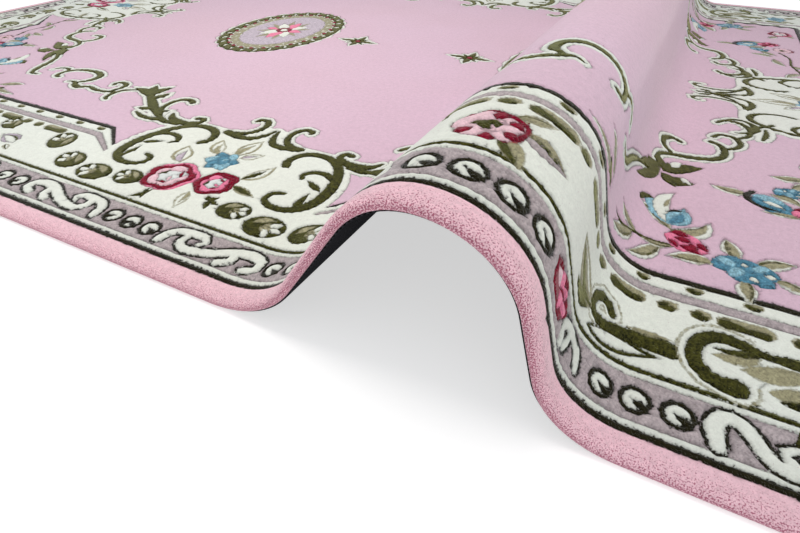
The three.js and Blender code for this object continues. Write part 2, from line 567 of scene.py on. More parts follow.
BORDER_CURL = (
    ((840, 170), (833, 181), (819, 184), (808, 174), (804, 159), (812, 149), (830, 147), (852, 152),
     (874, 155), (896, 156), (916, 153)),
    (13, 16, 15, 12, 13, 15, 17, 19, 22, 26, 22),
)
BORDER_HOOK = (
    ((974, 131), (960, 131), (948, 135), (938, 146), (934, 162), (937, 179), (948, 194), (963, 199),
     (980, 197), (1000, 191), (1030, 190), (1062, 188), (1090, 178)),
    (25, 18, 17, 16, 16, 17, 16, 11, 10, 20, 22, 19, 8),
)


def dash(pen, along, depth, reach, width):
    """A short khaki bar with an olive outer half."""
    whole = [(along - reach, depth - 1), (along + reach, depth + 1)]
    pen.area(ribbon(whole, (width, width * 0.9)), "khaki", "dash")
    deep = [
        (along - reach, depth - width * 0.1), (along, depth - width * 0.24),
        (along + reach, depth - width * 0.2),
    ]
    pen.area(ribbon(deep, (width * 0.8, width * 0.5, width * 0.52)), "olive")


def dashes(pen, first, last):
    """Bars beside the inner frame and the small teeth within it."""
    for along in LONG_DASHES:
        if first < along < last:
            dash(pen, along, DASH_DEPTH, 21, 20)
    for along in SHORT_DASHES:
        if first < along < last:
            dash(pen, along, DASH_DEPTH, 3.5, 18)
    along = TOOTH_FIRST
    while along < last:
        dash(pen, along, TOOTH_DEPTH, 5, 12)
        along += TOOTH_GAP


def border_rose(pen):
    pen.veined((586, 190), (624, 211), 17, "khaki", "khaki")
    pen.area(leaf((596, 168), (653, 157), 28, 0.02), "grey", "leaf")
    pen.area(leaf((596, 168), (651, 158), 28, 0.02, 0.1, 0.95), "khaki", "leaf")
    pen.area(leaf((598, 168), (648, 159), 28, 0.02, -0.1, 0.14), "olive")
    pen.area(leaf((588, 150), (616, 106), 24, -0.04), "khaki", "leaf")
    pen.area(leaf((586, 148), (612, 107), 24, -0.04, -0.7, 0.2), "olive")
    rose(pen, (570, 161), 35, ROSE_PALE, 30)
    for angle, reach in ((-20, 24), (35, 27), (82, 22), (-75, 25), (-130, 24)):
        x, y = math.cos(math.radians(angle)), math.sin(math.radians(angle))
        foot, tip = (570 + 34 * x, 161 + 34 * y), (570 + reach * 0.7 * x, 161 + reach * 0.7 * y)
        pen.area(leaf(foot, tip, 15, 0.08), "crimson", "rose crimson")


def widened(line_and_widths, extra):
    line, widths = line_and_widths
    return ribbon(line, [width + extra for width in widths])


def border_scroll(pen):
    """The long scroll of the main border, with cream halos round its curls."""
    for extra, yarn in ((17, "khaki"), (13, "cream")):
        pen.area(widened((BORDER_CURL[0][:7], BORDER_CURL[1][:7]), extra), yarn, f"curl {yarn}")
    pen.area(leaf((804, 124), (902, 137), 27, 0.03), "olive", "spear rim")
    pen.area(leaf((811, 127), (890, 136), 18, 0.03), "cream", "spear")
    pen.area(leaf((806, 150), (718, 176), 50, 0.04), "khaki", "flank leaf")
    pen.area(leaf((800, 152), (722, 174), 50, 0.04, -0.72, -0.42), "cream", "flank leaf")
    pen.area(leaf((806, 150), (720, 175), 50, 0.04, 0.0, 0.5), "olive")
    pen.area(leaf((796, 142), (738, 132), 18, 0.05), "olive")
    pen.area(widened(BORDER_CURL, 0), "olive")
    pen.area(leaf((862, 166), (916, 167), 9, 0.02), "khaki", "light")
    ring = (BORDER_HOOK[0][:9], BORDER_HOOK[1][:9])
    pen.area(widened(ring, 18.5), "khaki", "hook outline")
    pen.area(widened(ring, 14), "cream", "hook halo")
    pen.area(blob((972, 160), (30, 30)), "cream", "hook halo")
    pen.area(widened(BORDER_HOOK, 0), "olive")
    pen.area(leaf((998, 184), (951, 168), 20, 0.1), "khaki", "light")
    pen.area(leaf((978, 158), (1046, 180), 25, -0.05), "khaki", "light")
    pen.area(leaf((1002, 190), (953, 179), 12, 0.06), "olive")
    pen.area(leaf((1000, 139), (1066, 152), 24, -0.04), "khaki", "light")
    pen.area(leaf((1010, 131), (1066, 146), 12, -0.05), "olive")
    pen.area(leaf((1019, 84), (1052, 132), 26, -0.1), "olive")


def border_corner(pen):
    """Flowers that turn the main border's corner."""
    pen.veined((1105, 172), (1070, 136), 20, "cream", "khaki")
    pen.veined((1146, 168), (1184, 140), 20, "khaki", "olive")
    pen.veined((1140, 204), (1176, 222), 18, "cream", "khaki")
    star_flower(pen, (1125, 182), 32, 6, 15)
    pen.veined((1240, 160), (1196, 150), 22, "khaki", "olive")
    pen.veined((1240, 200), (1206, 226), 20, "cream", "khaki")
    pen.veined((1292, 216), (1304, 262), 22, "khaki", "olive")
    pen.veined((1250, 214), (1226, 250), 18, "cream", "khaki")
    pen.veined((1300, 150), (1322, 128), 18, "cream", "khaki")
    rose(pen, (1272, 178), 44, ROSE_PINK, 12)


def short_side_leaves(pen):
    """The main border of the short sides, between its rose and the corner."""
    pen.area(ribbon([(662, 136), (690, 128), (722, 138), (744, 160), (742, 184), (722, 190), (712, 176)],
                    (6, 11, 14, 15, 13, 10, 8)), "olive")
    pen.area(leaf((700, 134), (770, 148), 18, -0.1), "khaki", "leaf")


def draw_main_border(drawing):
    long_side = Pen(drawing)
    short_side = Pen(drawing, on_short_side)
    dashes(long_side, 330, 1180)
    dashes(short_side, 330, 720)
    for pen in (long_side, short_side):
        for along, depth, length, width, turn in OVALS:
            cut_oval(pen, (along, depth), (length, width), turn)
        pen.veined((406, 152), (458, 166), 34, "lilac", "cream", 0.08)
        pen.veined((410, 142), (388, 128), 12, "khaki", "cream")
        border_rose(pen)
    border_scroll(long_side)
    border_corner(long_side)
    short_side_leaves(short_side)


# Cartouches: one at the middle of each side, drawn by its right half

CARTOUCHE_FILL = (
    (0, 130), (120, 128), (178, 150), (200, 176), (226, 205), (234, 250), (226, 300), (196, 352),
    (158, 376), (112, 378), (84, 378), (52, 388), (26, 412), (0, 424),
)
CARTOUCHE_SCROLL = (
    (150, 232), (134, 226), (131, 207), (150, 194), (180, 196), (202, 216), (209, 250), (204, 292),
    (186, 334), (156, 360), (120, 362), (97, 346), (90, 322), (98, 306),
)
CARTOUCHE_SCROLL_WIDTHS = (9, 11, 12, 14, 18, 20, 20, 18, 17, 17, 16, 16, 15, 15)
CARTOUCHE_SPUR = ((198, 300), (176, 312), (152, 308), (141, 292), (148, 282))
CARTOUCHE_ARC = ((84, 366), (52, 358), (26, 362), (11, 382), (3, 410))
CARTOUCHE_HOOK = ((72, 366), (48, 376), (34, 400), (35, 424), (48, 441), (62, 438), (64, 430))
CARTOUCHE_SHOULDER = ((182, 386), (168, 390), (163, 374), (182, 360), (210, 358), (234, 368), (244, 382))
CARTOUCHE_TWIG = ((196, 346), (228, 346), (264, 352))


def cartouche(pen, halo_only=False, weight=1.0):
    """The scrolls of a cartouche. Its halo goes first, under everything else."""
    def scroll(line, widths):
        pen.area(ribbon(line, [width * weight for width in widths]), "olive")

    scrolls = (
        (CARTOUCHE_HOOK, (16, 13, 12, 12, 13, 14, 12)),
        (CARTOUCHE_SHOULDER, (12, 13, 14, 19, 20, 16, 8)),
        (CARTOUCHE_TWIG, (6, 13, 5)),
    )
    if halo_only:
        for line, widths in scrolls:
            pen.area(ribbon(line, [w * weight + 2 * HALO for w in widths]), "cream", "ground")
        fill = through(CARTOUCHE_FILL)
        pen.area(np.vstack([fill, (0, 424), (0, 130)]), "cream", "ground")
        return
    pen.area(leaf((196, 262), (160, 282), 13), "olive")
    pen.area(leaf((186, 200), (184, 250), 12), "olive")
    scroll(CARTOUCHE_SPUR, (12, 13, 12, 11, 8))
    scroll(CARTOUCHE_SCROLL, CARTOUCHE_SCROLL_WIDTHS)
    scroll(CARTOUCHE_ARC, (18, 17, 15, 12, 5))
    for line, widths in scrolls:
        scroll(line, widths)


def bouquet(pen):
    """Two roses, a blue flower and leaves, inside a cartouche."""
    pen.outlined((-4, 294), (6, 362), 34, "khaki")
    pen.outlined((-30, 286), (-64, 334), 30, "khaki", 0.12)
    pen.outlined((-72, 234), (-104, 288), 38, "lilac", 0.06)
    pen.outlined((10, 290), (44, 318), 22, "lilac")
    pen.outlined((60, 234), (88, 292), 28, "olive", -0.08)
    pen.veined((62, 214), (116, 200), 18, "khaki", "olive")
    pen.outlined((14, 170), (26, 124), 20, "khaki")
    pen.area(leaf((-44, 150), (-62, 118), 10, 0.1), "olive")
    pen.area(leaf((-52, 150), (-40, 122), 8, -0.1), "olive")
    for turn in (0, 62, 125, 190):
        angle = math.radians(turn - 60)
        tip = (60 + 20 * math.cos(angle), 160 + 20 * math.sin(angle))
        pen.area(leaf((58, 164), tip, 10), "olive")
    star_flower(pen, (-12, 270), 34, 6, 10)
    rose(pen, (-54, 192), 47, ROSE_PINK, 18)
    rose(pen, (30, 206), 36, ROSE_DEEP, 50)


END_CARTOUCHE_SQUEEZE = 0.86
END_CARTOUCHE_STRETCH = 1.42
END_CARTOUCHE_FOOT = 190.0
END_CARTOUCHE_WEIGHT = 0.56


def on_short_side_stretched(points):
    """Places in the longer and narrower cartouche of a short side."""
    points = np.asarray(points, float)
    depth = END_CARTOUCHE_FOOT + (points[:, 1] - END_CARTOUCHE_FOOT) * END_CARTOUCHE_STRETCH
    return on_short_side(np.stack([points[:, 0] * END_CARTOUCHE_SQUEEZE, depth], 1))


# Field vine, from the long side's cartouche to the short side's one

VINE = (
    # line, widths from its start to its end
    (((205, 348), (238, 352), (272, 366), (312, 392), (350, 420), (382, 444)), (6, 10, 14, 22, 18, 14)),
    (((262, 362), (288, 392), (293, 424), (283, 446), (264, 452), (250, 442)), (10, 12, 11, 12, 15, 13)),
    (((232, 352), (262, 344), (296, 346), (322, 356)), (5, 11, 12, 4)),
    (((418, 444), (444, 428), (452, 404), (446, 380), (434, 372)), (5, 10, 12, 11, 6)),
    (((452, 414), (476, 404), (506, 402), (536, 410)), (7, 10, 11, 8)),
    (((470, 410), (462, 432), (470, 456), (490, 462), (500, 450), (494, 440)), (8, 11, 12, 12, 11, 9)),
    (((536, 410), (556, 396), (578, 402), (598, 416), (612, 408)), (8, 16, 14, 9, 5)),
    (((588, 412), (570, 436), (572, 464), (596, 482), (628, 484), (660, 474), (678, 450), (676, 426),
      (660, 420)), (9, 14, 16, 15, 14, 13, 12, 11, 10)),
    (((676, 452), (692, 470), (712, 464), (724, 446)), (5, 9, 8, 4)),
    (((724, 410), (748, 410), (766, 436), (782, 478), (806, 516), (838, 540)), (5, 12, 15, 12, 9, 9)),
    (((848, 584), (856, 616), (884, 638), (922, 644), (954, 656), (968, 684), (962, 716), (944, 728)),
     (8, 9, 11, 14, 14, 12, 11, 10)),
    (((880, 640), (860, 656), (857, 684), (874, 704), (894, 700)), (9, 12, 13, 12, 9)),
    (((962, 700), (986, 718), (994, 744), (982, 766), (958, 768), (948, 752)), (6, 9, 10, 10, 9, 8)),
    (((986, 760), (1008, 784), (1012, 816), (996, 842), (968, 846), (954, 828)), (7, 9, 11, 11, 10, 8)),
    (((1006, 822), (1030, 840), (1052, 860)), (5, 8, 9)),
)
LEAFY_HEAD = (
    # base, tip, width, bow: the broad leaf where the vine first turns
    ((352, 424), (436, 450), 26, 0.1), ((362, 428), (402, 484), 28, -0.05),
    ((366, 426), (360, 490), 24, -0.1), ((352, 420), (338, 462), 20, 0.1),
    ((300, 380), (336, 372), 16, 0.0), ((290, 372), (262, 392), 15, 0.1),
)
LEAF_CLUSTER = (
    ((862, 566), (808, 478), 22, 0.06), ((858, 566), (812, 528), 22, -0.05),
    ((862, 572), (826, 566), 20, 0.1), ((868, 560), (936, 608), 34, 0.08),
    ((880, 548), (924, 546), 30, -0.1), ((868, 560), (900, 606), 26, 0.05),
    ((866, 552), (896, 520), 30, 0.1), ((868, 566), (850, 606), 24, 0.0),
)
CLUSTER_CUT = (((884, 586), (902, 612), 20, 0.1), ((902, 560), (920, 536), 11, 0.0))
END_FINIAL = (
    ((930, 1000), (996, 1000), 10, 0.0), ((946, 996), (912, 984), 8, 0.1), ((946, 990), (996, 964), 9, 0.1),
    ((946, 1000), (905, 1000), 8, 0.0),
)


def draw_vine_halos(pen):
    for line, widths in VINE:
        pen.area(ribbon(line, [w + 2 * HALO for w in widths]), "cream", "halo")
    for base, tip, width, bow in (*LEAFY_HEAD, *END_FINIAL):
        base, tip = np.asarray(base, float), np.asarray(tip, float)
        reach = (tip - base) / np.linalg.norm(tip - base) * HALO * 1.6
        pen.area(leaf(base - reach, tip + reach, width + 2.2 * HALO, bow), "cream", "halo")


def draw_vine(pen):
    for line, widths in VINE:
        pen.area(ribbon(line, widths), "olive")
    for base, tip, width, bow in (*LEAFY_HEAD, *LEAF_CLUSTER, *END_FINIAL):
        pen.area(leaf(base, tip, width, bow), "olive")
    for base, tip, width, bow in CLUSTER_CUT:
        pen.area(leaf(base, tip, width, bow), "cream", "cut")


# Flowers in the corners of the field


def draw_corner_sprays(pen):
    leaves = (
        # base, tip, width, bow: cream leaves with a khaki middle
        ((846, 348), (797, 378), 19, 0.08), ((838, 346), (786, 306), 30, 0.1),
        ((884, 352), (834, 294), 27, 0.12), ((904, 350), (842, 350), 16, 0.06),
        ((955, 336), (894, 326), 26, -0.08), ((898, 392), (840, 432), 28, -0.12),
        ((896, 392), (948, 434), 30, -0.24), ((980, 356), (965, 404), 27, 0.0),
        ((1000, 352), (1050, 378), 25, 0.05), ((1020, 334), (1062, 318), 22, 0.0),
        ((986, 318), (991, 270), 26, 0.0), ((1004, 552), (944, 556), 24, 0.1),
        ((1028, 562), (1074, 540), 26, 0.15), ((1066, 505), (1012, 502), 22, -0.08),
        ((1084, 640), (1030, 628), 24, 0.08), ((1086, 660), (1110, 720), 24, 0.08),
        ((1110, 412), (1086, 446), 22, 0.0), ((1132, 390), (1156, 420), 20, 0.0),
        ((1060, 596), (1096, 628), 22, 0.0), ((1124, 704), (1168, 736), 20, 0.1),
        ((1136, 768), (1100, 812), 20, 0.1), ((1134, 828), (1160, 880), 20, -0.1),
        ((738, 314), (640, 300), 18, 0.05), ((734, 322), (676, 350), 22, -0.1),
    )
    for base, tip, width, bow in leaves:
        pen.veined(base, tip, width, "cream", "khaki", bow)
    pen.area(leaf((740, 300), (700, 322), 12, 0.1), "olive")
    pen.area(ribbon([(784, 332), (812, 334), (842, 346), (876, 352), (908, 354)], (4, 5, 5, 5, 6)), "olive")
    stem = [(1104, 594), (1124, 640), (1122, 700), (1138, 770), (1134, 830)]
    pen.area(ribbon(stem, (5, 5, 5, 5, 4)), "olive")
    bud(pen, (894, 404))
    second_bud(pen, (1024, 532))
    field_rose(pen, (918, 368), 27, -24)
    field_rose(pen, (1082, 516), 26, -10)
    rose(pen, (1118, 380), 31, ROSE_PINK, 25)
    rose(pen, (1112, 566), 24, ROSE_PALE, 0)
    round_flower(pen, (986, 338), 43, -14)
    round_flower(pen, (1056, 580), 26, 20)


def field_rose(pen, centre, size, turn):
    """A small rose seen from the side, with deep red folds."""
    def at(along, across):
        cos, sin = math.cos(math.radians(turn)), math.sin(math.radians(turn))
        run, rise = along * cos - across * sin, along * sin + across * cos
        return centre[0] + size * run, centre[1] + size * rise

    pen.area(blob(centre, (size, size * 0.74), turn, 4, 0.12), "rose", "field rose")
    folds = (
        # base, tip, width
        ((-1.02, 0.35), (-0.15, 0.62), 0.46), ((-0.6, 0.05), (0.2, 0.22), 0.54),
        ((-0.15, -0.4), (1.02, -0.42), 0.46), ((0.36, 0.4), (1.0, 0.1), 0.44),
        ((-0.75, -0.3), (-0.1, -0.66), 0.36), ((0.1, 0.05), (0.7, -0.22), 0.34),
    )
    for base, tip, width in folds:
        pen.area(leaf(at(*base), at(*tip), size * width, 0.08), "crimson", "fold")


def bud(pen, foot):
    """A half open blue bud with a cream petal."""
    x, y = foot
    pen.area(leaf((x, y), (x - 55, y + 54), 42, -0.1), "sky", "bud left")
    pen.area(leaf((x - 4, y + 6), (x + 3, y + 98), 30, 0.18), "cream", "bud petal")
    pen.area(leaf((x - 4, y + 2), (x + 18, y + 56), 36, -0.1), "sky", "bud right")
    pen.area(leaf((x - 2, y + 4), (x + 16, y + 38), 16, -0.12), "blue", "bud fold")
    pen.area(leaf((x - 12, y + 44), (x - 4, y + 74), 8), "khaki", "bud vein")
    pen.area(leaf((x - 8, y + 34), (x + 22, y + 46), 6, 0.12), "dark", "bud line")
    pen.area(leaf((x - 58, y + 28), (x - 30, y + 58), 12, 0.2), "olive", "bud cup")


def second_bud(pen, centre):
    """A blue bud seen from the side, in a dark cup."""
    x, y = centre
    pen.area(leaf((x - 26, y + 8), (x + 40, y - 18), 46, 0.04), "blue", "bud body")
    pen.area(leaf((x - 22, y + 18), (x + 26, y + 4), 20, 0.1), "sky", "bud light")
    pen.area(leaf((x - 10, y + 4), (x + 24, y - 10), 11, 0.1), "cream", "bud spark")
    cup = [(x - 18, y + 30), (x - 28, y + 14), (x - 22, y - 6), (x - 4, y - 16), (x + 14, y - 18)]
    pen.area(ribbon(cup, (7, 12, 9, 7, 4)), "dark", "bud cup")


# The middle of the field: plain leaf wreaths and sprigs

WREATH_MIDDLE = (432.0, 1000.0)
WREATH_RADII = (132.0, 196.0)
WREATH_LEAVES = 26
SPRIG_MIDDLE = (170.0, 1000.0)


def on_wreath(angle, scale=1.0):
    return (
        WREATH_MIDDLE[0] + WREATH_RADII[0] * scale * math.cos(angle),
        WREATH_MIDDLE[1] + WREATH_RADII[1] * scale * math.sin(angle),
    )


def draw_wreath(pen):
    """An oval wreath of leaves and berries round a rosette."""
    rx, ry = WREATH_RADII
    pen.area(blob(WREATH_MIDDLE, (rx + 34, ry + 36), 0, WREATH_LEAVES, 0.03), "cream", "wreath halo")
    pen.area(blob(WREATH_MIDDLE, (rx - 30, ry - 32), 0, WREATH_LEAVES, 0.03), "lilac", "wreath ground")
    for number in range(WREATH_LEAVES):
        angle = math.tau * number / WREATH_LEAVES
        ahead = angle + math.tau * 1.15 / WREATH_LEAVES
        pen.area(leaf(on_wreath(angle), on_wreath(ahead, 1.19), 20, -0.1), "olive")
        pen.area(leaf(on_wreath(angle), on_wreath(ahead, 0.83), 17, 0.1), "khaki", "inner leaf")
    for number in range(WREATH_LEAVES // 2):
        angle = math.tau * (number + 0.25) / (WREATH_LEAVES // 2)
        pen.area(blob(on_wreath(angle), (7.5, 7.5)), "crimson", "berry")
    for number in range(8):
        turn = 45 * number
        angle = math.radians(turn)
        x, y = WREATH_MIDDLE
        tip = (x + 66 * math.cos(angle), y + 92 * math.sin(angle))
        side = (x + 78 * math.cos(angle + math.pi / 8), y + 108 * math.sin(angle + math.pi / 8))
        pen.area(leaf(WREATH_MIDDLE, side, 20), "khaki", f"ray {number}")
        pen.area(leaf(WREATH_MIDDLE, tip, 34), "cream" if number % 2 else "rose", f"petal {number}")
    pen.area(blob(WREATH_MIDDLE, (22, 24), 0, 8, 0.08), "crimson", "rosette eye")
    pen.area(blob(WREATH_MIDDLE, (12, 13)), "cream", "rosette heart")


def draw_sprig(pen):
    """Four leaves and a berry."""
    x, y = SPRIG_MIDDLE
    for halo, yarn, part in ((HALO, "cream", "halo"), (0.0, "olive", "")):
        for dx, dy in ((62, 0), (-62, 0), (0, 50), (0, -50)):
            tip = (x + dx * (1 + halo / 50), y + dy * (1 + halo / 50))
            pen.area(leaf((x - dx * 0.05, y - dy * 0.05), tip, 17 + 2 * halo), yarn, part)
        for dx, dy in ((26, 24), (-26, 24), (26, -24), (-26, -24)):
            tip = (x + dx * (1 + halo / 40), y + dy * (1 + halo / 40))
            pen.area(leaf((x, y), tip, 9 + 1.6 * halo), yarn, part)
    pen.area(blob(SPRIG_MIDDLE, (9, 9)), "crimson", "berry")


def draw_rug():
    """The whole drawing, in the order in which the areas cover each other."""
    drawing = Drawing()
    end = Pen(drawing, on_short_side_stretched)
    quarter = Pen(drawing)
    draw_frames(drawing)
    draw_guard(drawing)
    draw_vine_halos(quarter)
    cartouche(quarter, halo_only=True)
    cartouche(end, halo_only=True, weight=END_CARTOUCHE_WEIGHT)
    draw_main_border(drawing)
    draw_vine(quarter)
    cartouche(quarter)
    cartouche(end, weight=END_CARTOUCHE_WEIGHT)
    bouquet(Pen(drawing, mirrors=ACROSS_PAIR))
    bouquet(Pen(drawing, on_short_side_stretched, SIDEWAYS_PAIR))
    draw_corner_sprays(quarter)
    draw_wreath(quarter)
    draw_sprig(quarter)
    return drawing


# From the drawing to triangles


def contains(outline, points):
    """Which points lie inside an outline, by their winding numbers."""
    x, y = points[:, 0:1], points[:, 1:2]
    start, end = outline, np.roll(outline, -1, 0)
    up = (start[:, 1] <= y) & (end[:, 1] > y)
    down = (start[:, 1] > y) & (end[:, 1] <= y)
    run, rise = end[:, 0] - start[:, 0], end[:, 1] - start[:, 1]
    side = run * (y - start[:, 1]) - (x - start[:, 0]) * rise
    return (up & (side > 0)).sum(1) != (down & (side < 0)).sum(1)


def topmost(points, drawing):
    """The number of the name of the area that covers each point."""
    found = np.zeros(len(points), int)
    order = np.argsort(points[:, 0])
    sorted_u = points[order, 0]
    for outline, name in drawing.areas:
        low, high = outline.min(0), outline.max(0)
        near = order[np.searchsorted(sorted_u, low[0]) : np.searchsorted(sorted_u, high[0])]
        near = near[(points[near, 1] >= low[1]) & (points[near, 1] <= high[1])]
        for block in np.array_split(near, len(near) // 20000 + 1):
            found[block[contains(outline, points[block])]] = name
    return found


def divided(line, closed=True):
    """A line with vertices close enough together to follow the wave."""
    points = []
    ends = np.roll(line, -1, 0) if closed else line[1:]
    for start, end in zip(line, ends):
        in_wave = max(start[0], end[0]) > WAVE_ZONE[0] and min(start[0], end[0]) < WAVE_ZONE[1]
        run = abs(end[0] - start[0]) if in_wave else 0.0
        length = float(np.linalg.norm(end - start))
        count = max(1, math.ceil(run / WAVE_STEP), math.ceil(length / FLAT_STEP))
        points.append(start + (end - start) * np.arange(count)[:, None] / count)
    if not closed:
        points.append(line[-1:])
    return np.vstack(points)


def triangulated_with_edges(points, edges):
    """Points and triangles of the flat mesh that keeps all the edges, and keys of the kept edges."""
    vectors = [Vector(p) for p in points.tolist()]
    result = delaunay_2d_cdt(vectors, edges, [], 0, NEAR_POINTS, True)
    made = np.array([v[:] for v in result[0]])
    kept = np.array([pair for pair, origin in zip(result[1], result[4]) if origin])
    kept.sort(1)
    return made, np.array(result[2]), kept[:, 0] * len(made) + kept[:, 1]


def triangulated(points, edges):
    """Points and triangles of the flat mesh that keeps all the edges."""
    vectors = [Vector(p) for p in points.tolist()]
    result = delaunay_2d_cdt(vectors, edges, [], 0, NEAR_POINTS, False)
    return np.array([v[:] for v in result[0]]), np.array(result[2])


def loop_edges(first, count):
    return [(first + i, first + (i + 1) % count) for i in range(count)]


def neighbour_pairs(triangles):
    """Inner edges of a triangle mesh, and the numbers of the two triangles beside each."""
    edges = np.concatenate([triangles[:, [0, 1]], triangles[:, [1, 2]], triangles[:, [2, 0]]])
    owners = np.tile(np.arange(len(triangles)), 3)
    edges.sort(1)
    order = np.lexsort(edges.T)
    edges, owners = edges[order], owners[order]
    paired = np.flatnonzero((edges[1:] == edges[:-1]).all(1))
    return edges[paired], owners[paired], owners[paired + 1]


def borders(triangles, names):
    """Edges between triangles of different areas, and the names of both."""
    edges, first, second = neighbour_pairs(triangles)
    differ = names[first] != names[second]
    return edges[differ], names[first][differ], names[second][differ]


def connected(count, first, second):
    """A label for each of a number of things, shared by those that the pairs connect."""
    labels = np.arange(count)
    while True:
        before = labels.copy()
        lowest = np.minimum(before[first], before[second])
        for numbers in (first, second, before[first], before[second]):
            np.minimum.at(labels, numbers, lowest)
        labels = labels[labels]
        if (labels == before).all():
            return labels


def triangle_areas(points, triangles):
    a, b, c = (points[triangles[:, corner]] for corner in range(3))
    return abs((b[:, 0] - a[:, 0]) * (c[:, 1] - a[:, 1]) - (b[:, 1] - a[:, 1]) * (c[:, 0] - a[:, 0])) / 2


def heaviest(keys, values, weights):
    """For each key, the value with the largest total weight."""
    base = values.max() + 1
    pairs, where = np.unique(keys * base + values, return_inverse=True)
    totals = np.bincount(where, weights)
    order = np.argsort(totals, kind="stable")
    return dict(zip((pairs[order] // base).tolist(), (pairs[order] % base).tolist()))


def without_slivers(points, triangles, names, smallest):
    """Area names, with every region below the smallest area joined to what surrounds it."""
    edges, first, second = neighbour_pairs(triangles)
    same = names[first] == names[second]
    labels = connected(len(triangles), first[same], second[same])
    small = np.bincount(labels, triangle_areas(points, triangles), len(triangles))[labels] < smallest
    lengths = np.linalg.norm(points[edges[:, 1]] - points[edges[:, 0]], axis=1)
    keys, values, weights = [], [], []
    for inside, outside in ((first, second), (second, first)):
        rim = small[inside] & ~small[outside]
        keys.append(labels[inside][rim])
        values.append(names[outside][rim])
        weights.append(lengths[rim])
    taken = heaviest(np.concatenate(keys), np.concatenate(values), np.concatenate(weights))
    names = names.copy()
    for number in np.flatnonzero(small).tolist():
        names[number] = taken.get(int(labels[number]), names[number])
    return names


def region_names(points, triangles, kept_edges, drawing):
    """Area names of triangles. All those that no kept edge parts get the same one."""
    edges, first, second = neighbour_pairs(triangles)
    inside = ~np.isin(edges[:, 0] * len(points) + edges[:, 1], kept_edges)
    labels = connected(len(triangles), first[inside], second[inside])
    names = topmost(points[triangles].mean(1), drawing)
    winners = heaviest(labels, names, triangle_areas(points, triangles))
    return np.array([winners[label] for label in labels.tolist()])


def chains(edges):
    """Borders as runs of vertex numbers, cut wherever other than two edges meet."""
    links = {}
    for a, b in edges.tolist():
        links.setdefault(a, []).append(b)
        links.setdefault(b, []).append(a)
    walked = set()

    def walk(start, step):
        run = [start, step]
        while len(links[run[-1]]) == 2 and run[-1] != start:
            before, after = links[run[-1]]
            run.append(after if before == run[-2] else before)
        walked.update(zip(run, run[1:]))
        walked.update(zip(run[1:], run))
        return run

    ends = [number for number, near in links.items() if len(near) != 2]
    runs = []
    for start in [*ends, *links]:
        for step in links[start]:
            if (start, step) not in walked:
                runs.append(walk(start, step))
    return runs


def simpler(points, run):
    """The vertices of a run that are needed to keep its shape on the laid rug."""
    line = points[run]
    along = along_wave(line)
    kept = [0]
    parts = [(0, len(run) - 1)]
    while parts:
        low, high = parts.pop()
        chord = line[high] - line[low]
        length = float(np.linalg.norm(chord))
        offset = line[low + 1 : high] - line[low]
        if high - low > 1:
            if length > 0:
                away = abs(offset[:, 0] * chord[1] - offset[:, 1] * chord[0]) / length
            else:
                away = np.linalg.norm(offset, axis=1)
            farthest = int(np.argmax(away))
            in_wave = max(along[low], along[high]) > 0 and min(along[low], along[high]) < WAVE_END
            too_far = away[farthest] > SHAPE_TOLERANCE
            too_long = length > FLAT_STEP or (in_wave and abs(along[high] - along[low]) > WAVE_REACH)
            if too_far or too_long:
                middle = low + 1 + farthest if too_far else (low + high) // 2
                parts += [(middle, high), (low, middle)]
                continue
        kept.append(high)
    return [run[number] for number in kept]


def wave_lattice(step, step_along, margin):
    """Points on the wave's straight lines, so that wide plain areas follow it too."""
    along = np.arange(0, WAVE_END + step, step)
    ridge = np.arange(margin, WIDTH - margin, step_along)
    s, v = [grid.ravel() for grid in np.meshgrid(along, ridge)]
    u = WAVE_START + (s + v * math.sin(WAVE_SKEW)) / math.cos(WAVE_SKEW)
    return np.stack([u, v], 1)


def tree_of(points):
    tree = KDTree(len(points))
    for number, (u, v) in enumerate(points.tolist()):
        tree.insert((u, v, 0), number)
    tree.balance()
    return tree


class BorderMap:
    """Finds the nearest border between two yarn areas."""

    def __init__(self, points, edges, names):
        self.start = points[edges[:, 0]]
        self.run = points[edges[:, 1]] - self.start
        self.names = names
        lengths = np.linalg.norm(self.run, axis=1)
        counts = np.maximum(1, np.ceil(lengths / BORDER_SAMPLE_STEP).astype(int))
        self.owner = np.repeat(np.arange(len(edges)), counts)
        first = np.concatenate([[0], np.cumsum(counts)[:-1]])
        share = (np.arange(len(self.owner)) - first[self.owner] + 0.5) / counts[self.owner]
        self.tree = tree_of(self.start[self.owner] + self.run[self.owner] * share[:, None])

    def nearest(self, points):
        """Distance to the nearest border, and its number, for each point."""
        found = self.tree.find
        samples = np.array([found((u, v, 0))[1] for u, v in points.tolist()])
        edge = self.owner[samples]
        run = self.run[edge]
        offset = points - self.start[edge]
        share = (offset * run).sum(1) / np.maximum((run * run).sum(1), 1e-9)
        offset -= run * np.clip(share, 0, 1)[:, None]
        return np.linalg.norm(offset, axis=1), edge


def beside_borders(points, edges, offset):
    """Points a little way off the middle of each border edge, on both sides."""
    run = points[edges[:, 1]] - points[edges[:, 0]]
    run /= np.maximum(np.linalg.norm(run, axis=1), 1e-6)[:, None]
    side = np.stack([-run[:, 1], run[:, 0]], 1) * offset
    middles = points[edges].mean(1)
    return np.vstack([middles + side, middles - side])


def beyond_tips(points, edges, offset):
    """Points a little way beyond the sharp corners of borders."""
    run = points[edges[:, 1]] - points[edges[:, 0]]
    run /= np.maximum(np.linalg.norm(run, axis=1), 1e-6)[:, None]
    pull = np.zeros_like(points)
    np.add.at(pull, edges[:, 0], run)
    np.add.at(pull, edges[:, 1], -run)
    strength = np.linalg.norm(pull, axis=1)
    sharp = (strength > 1) & (np.bincount(edges.ravel(), minlength=len(points)) == 2)
    return points[sharp] - pull[sharp] / strength[sharp][:, None] * offset


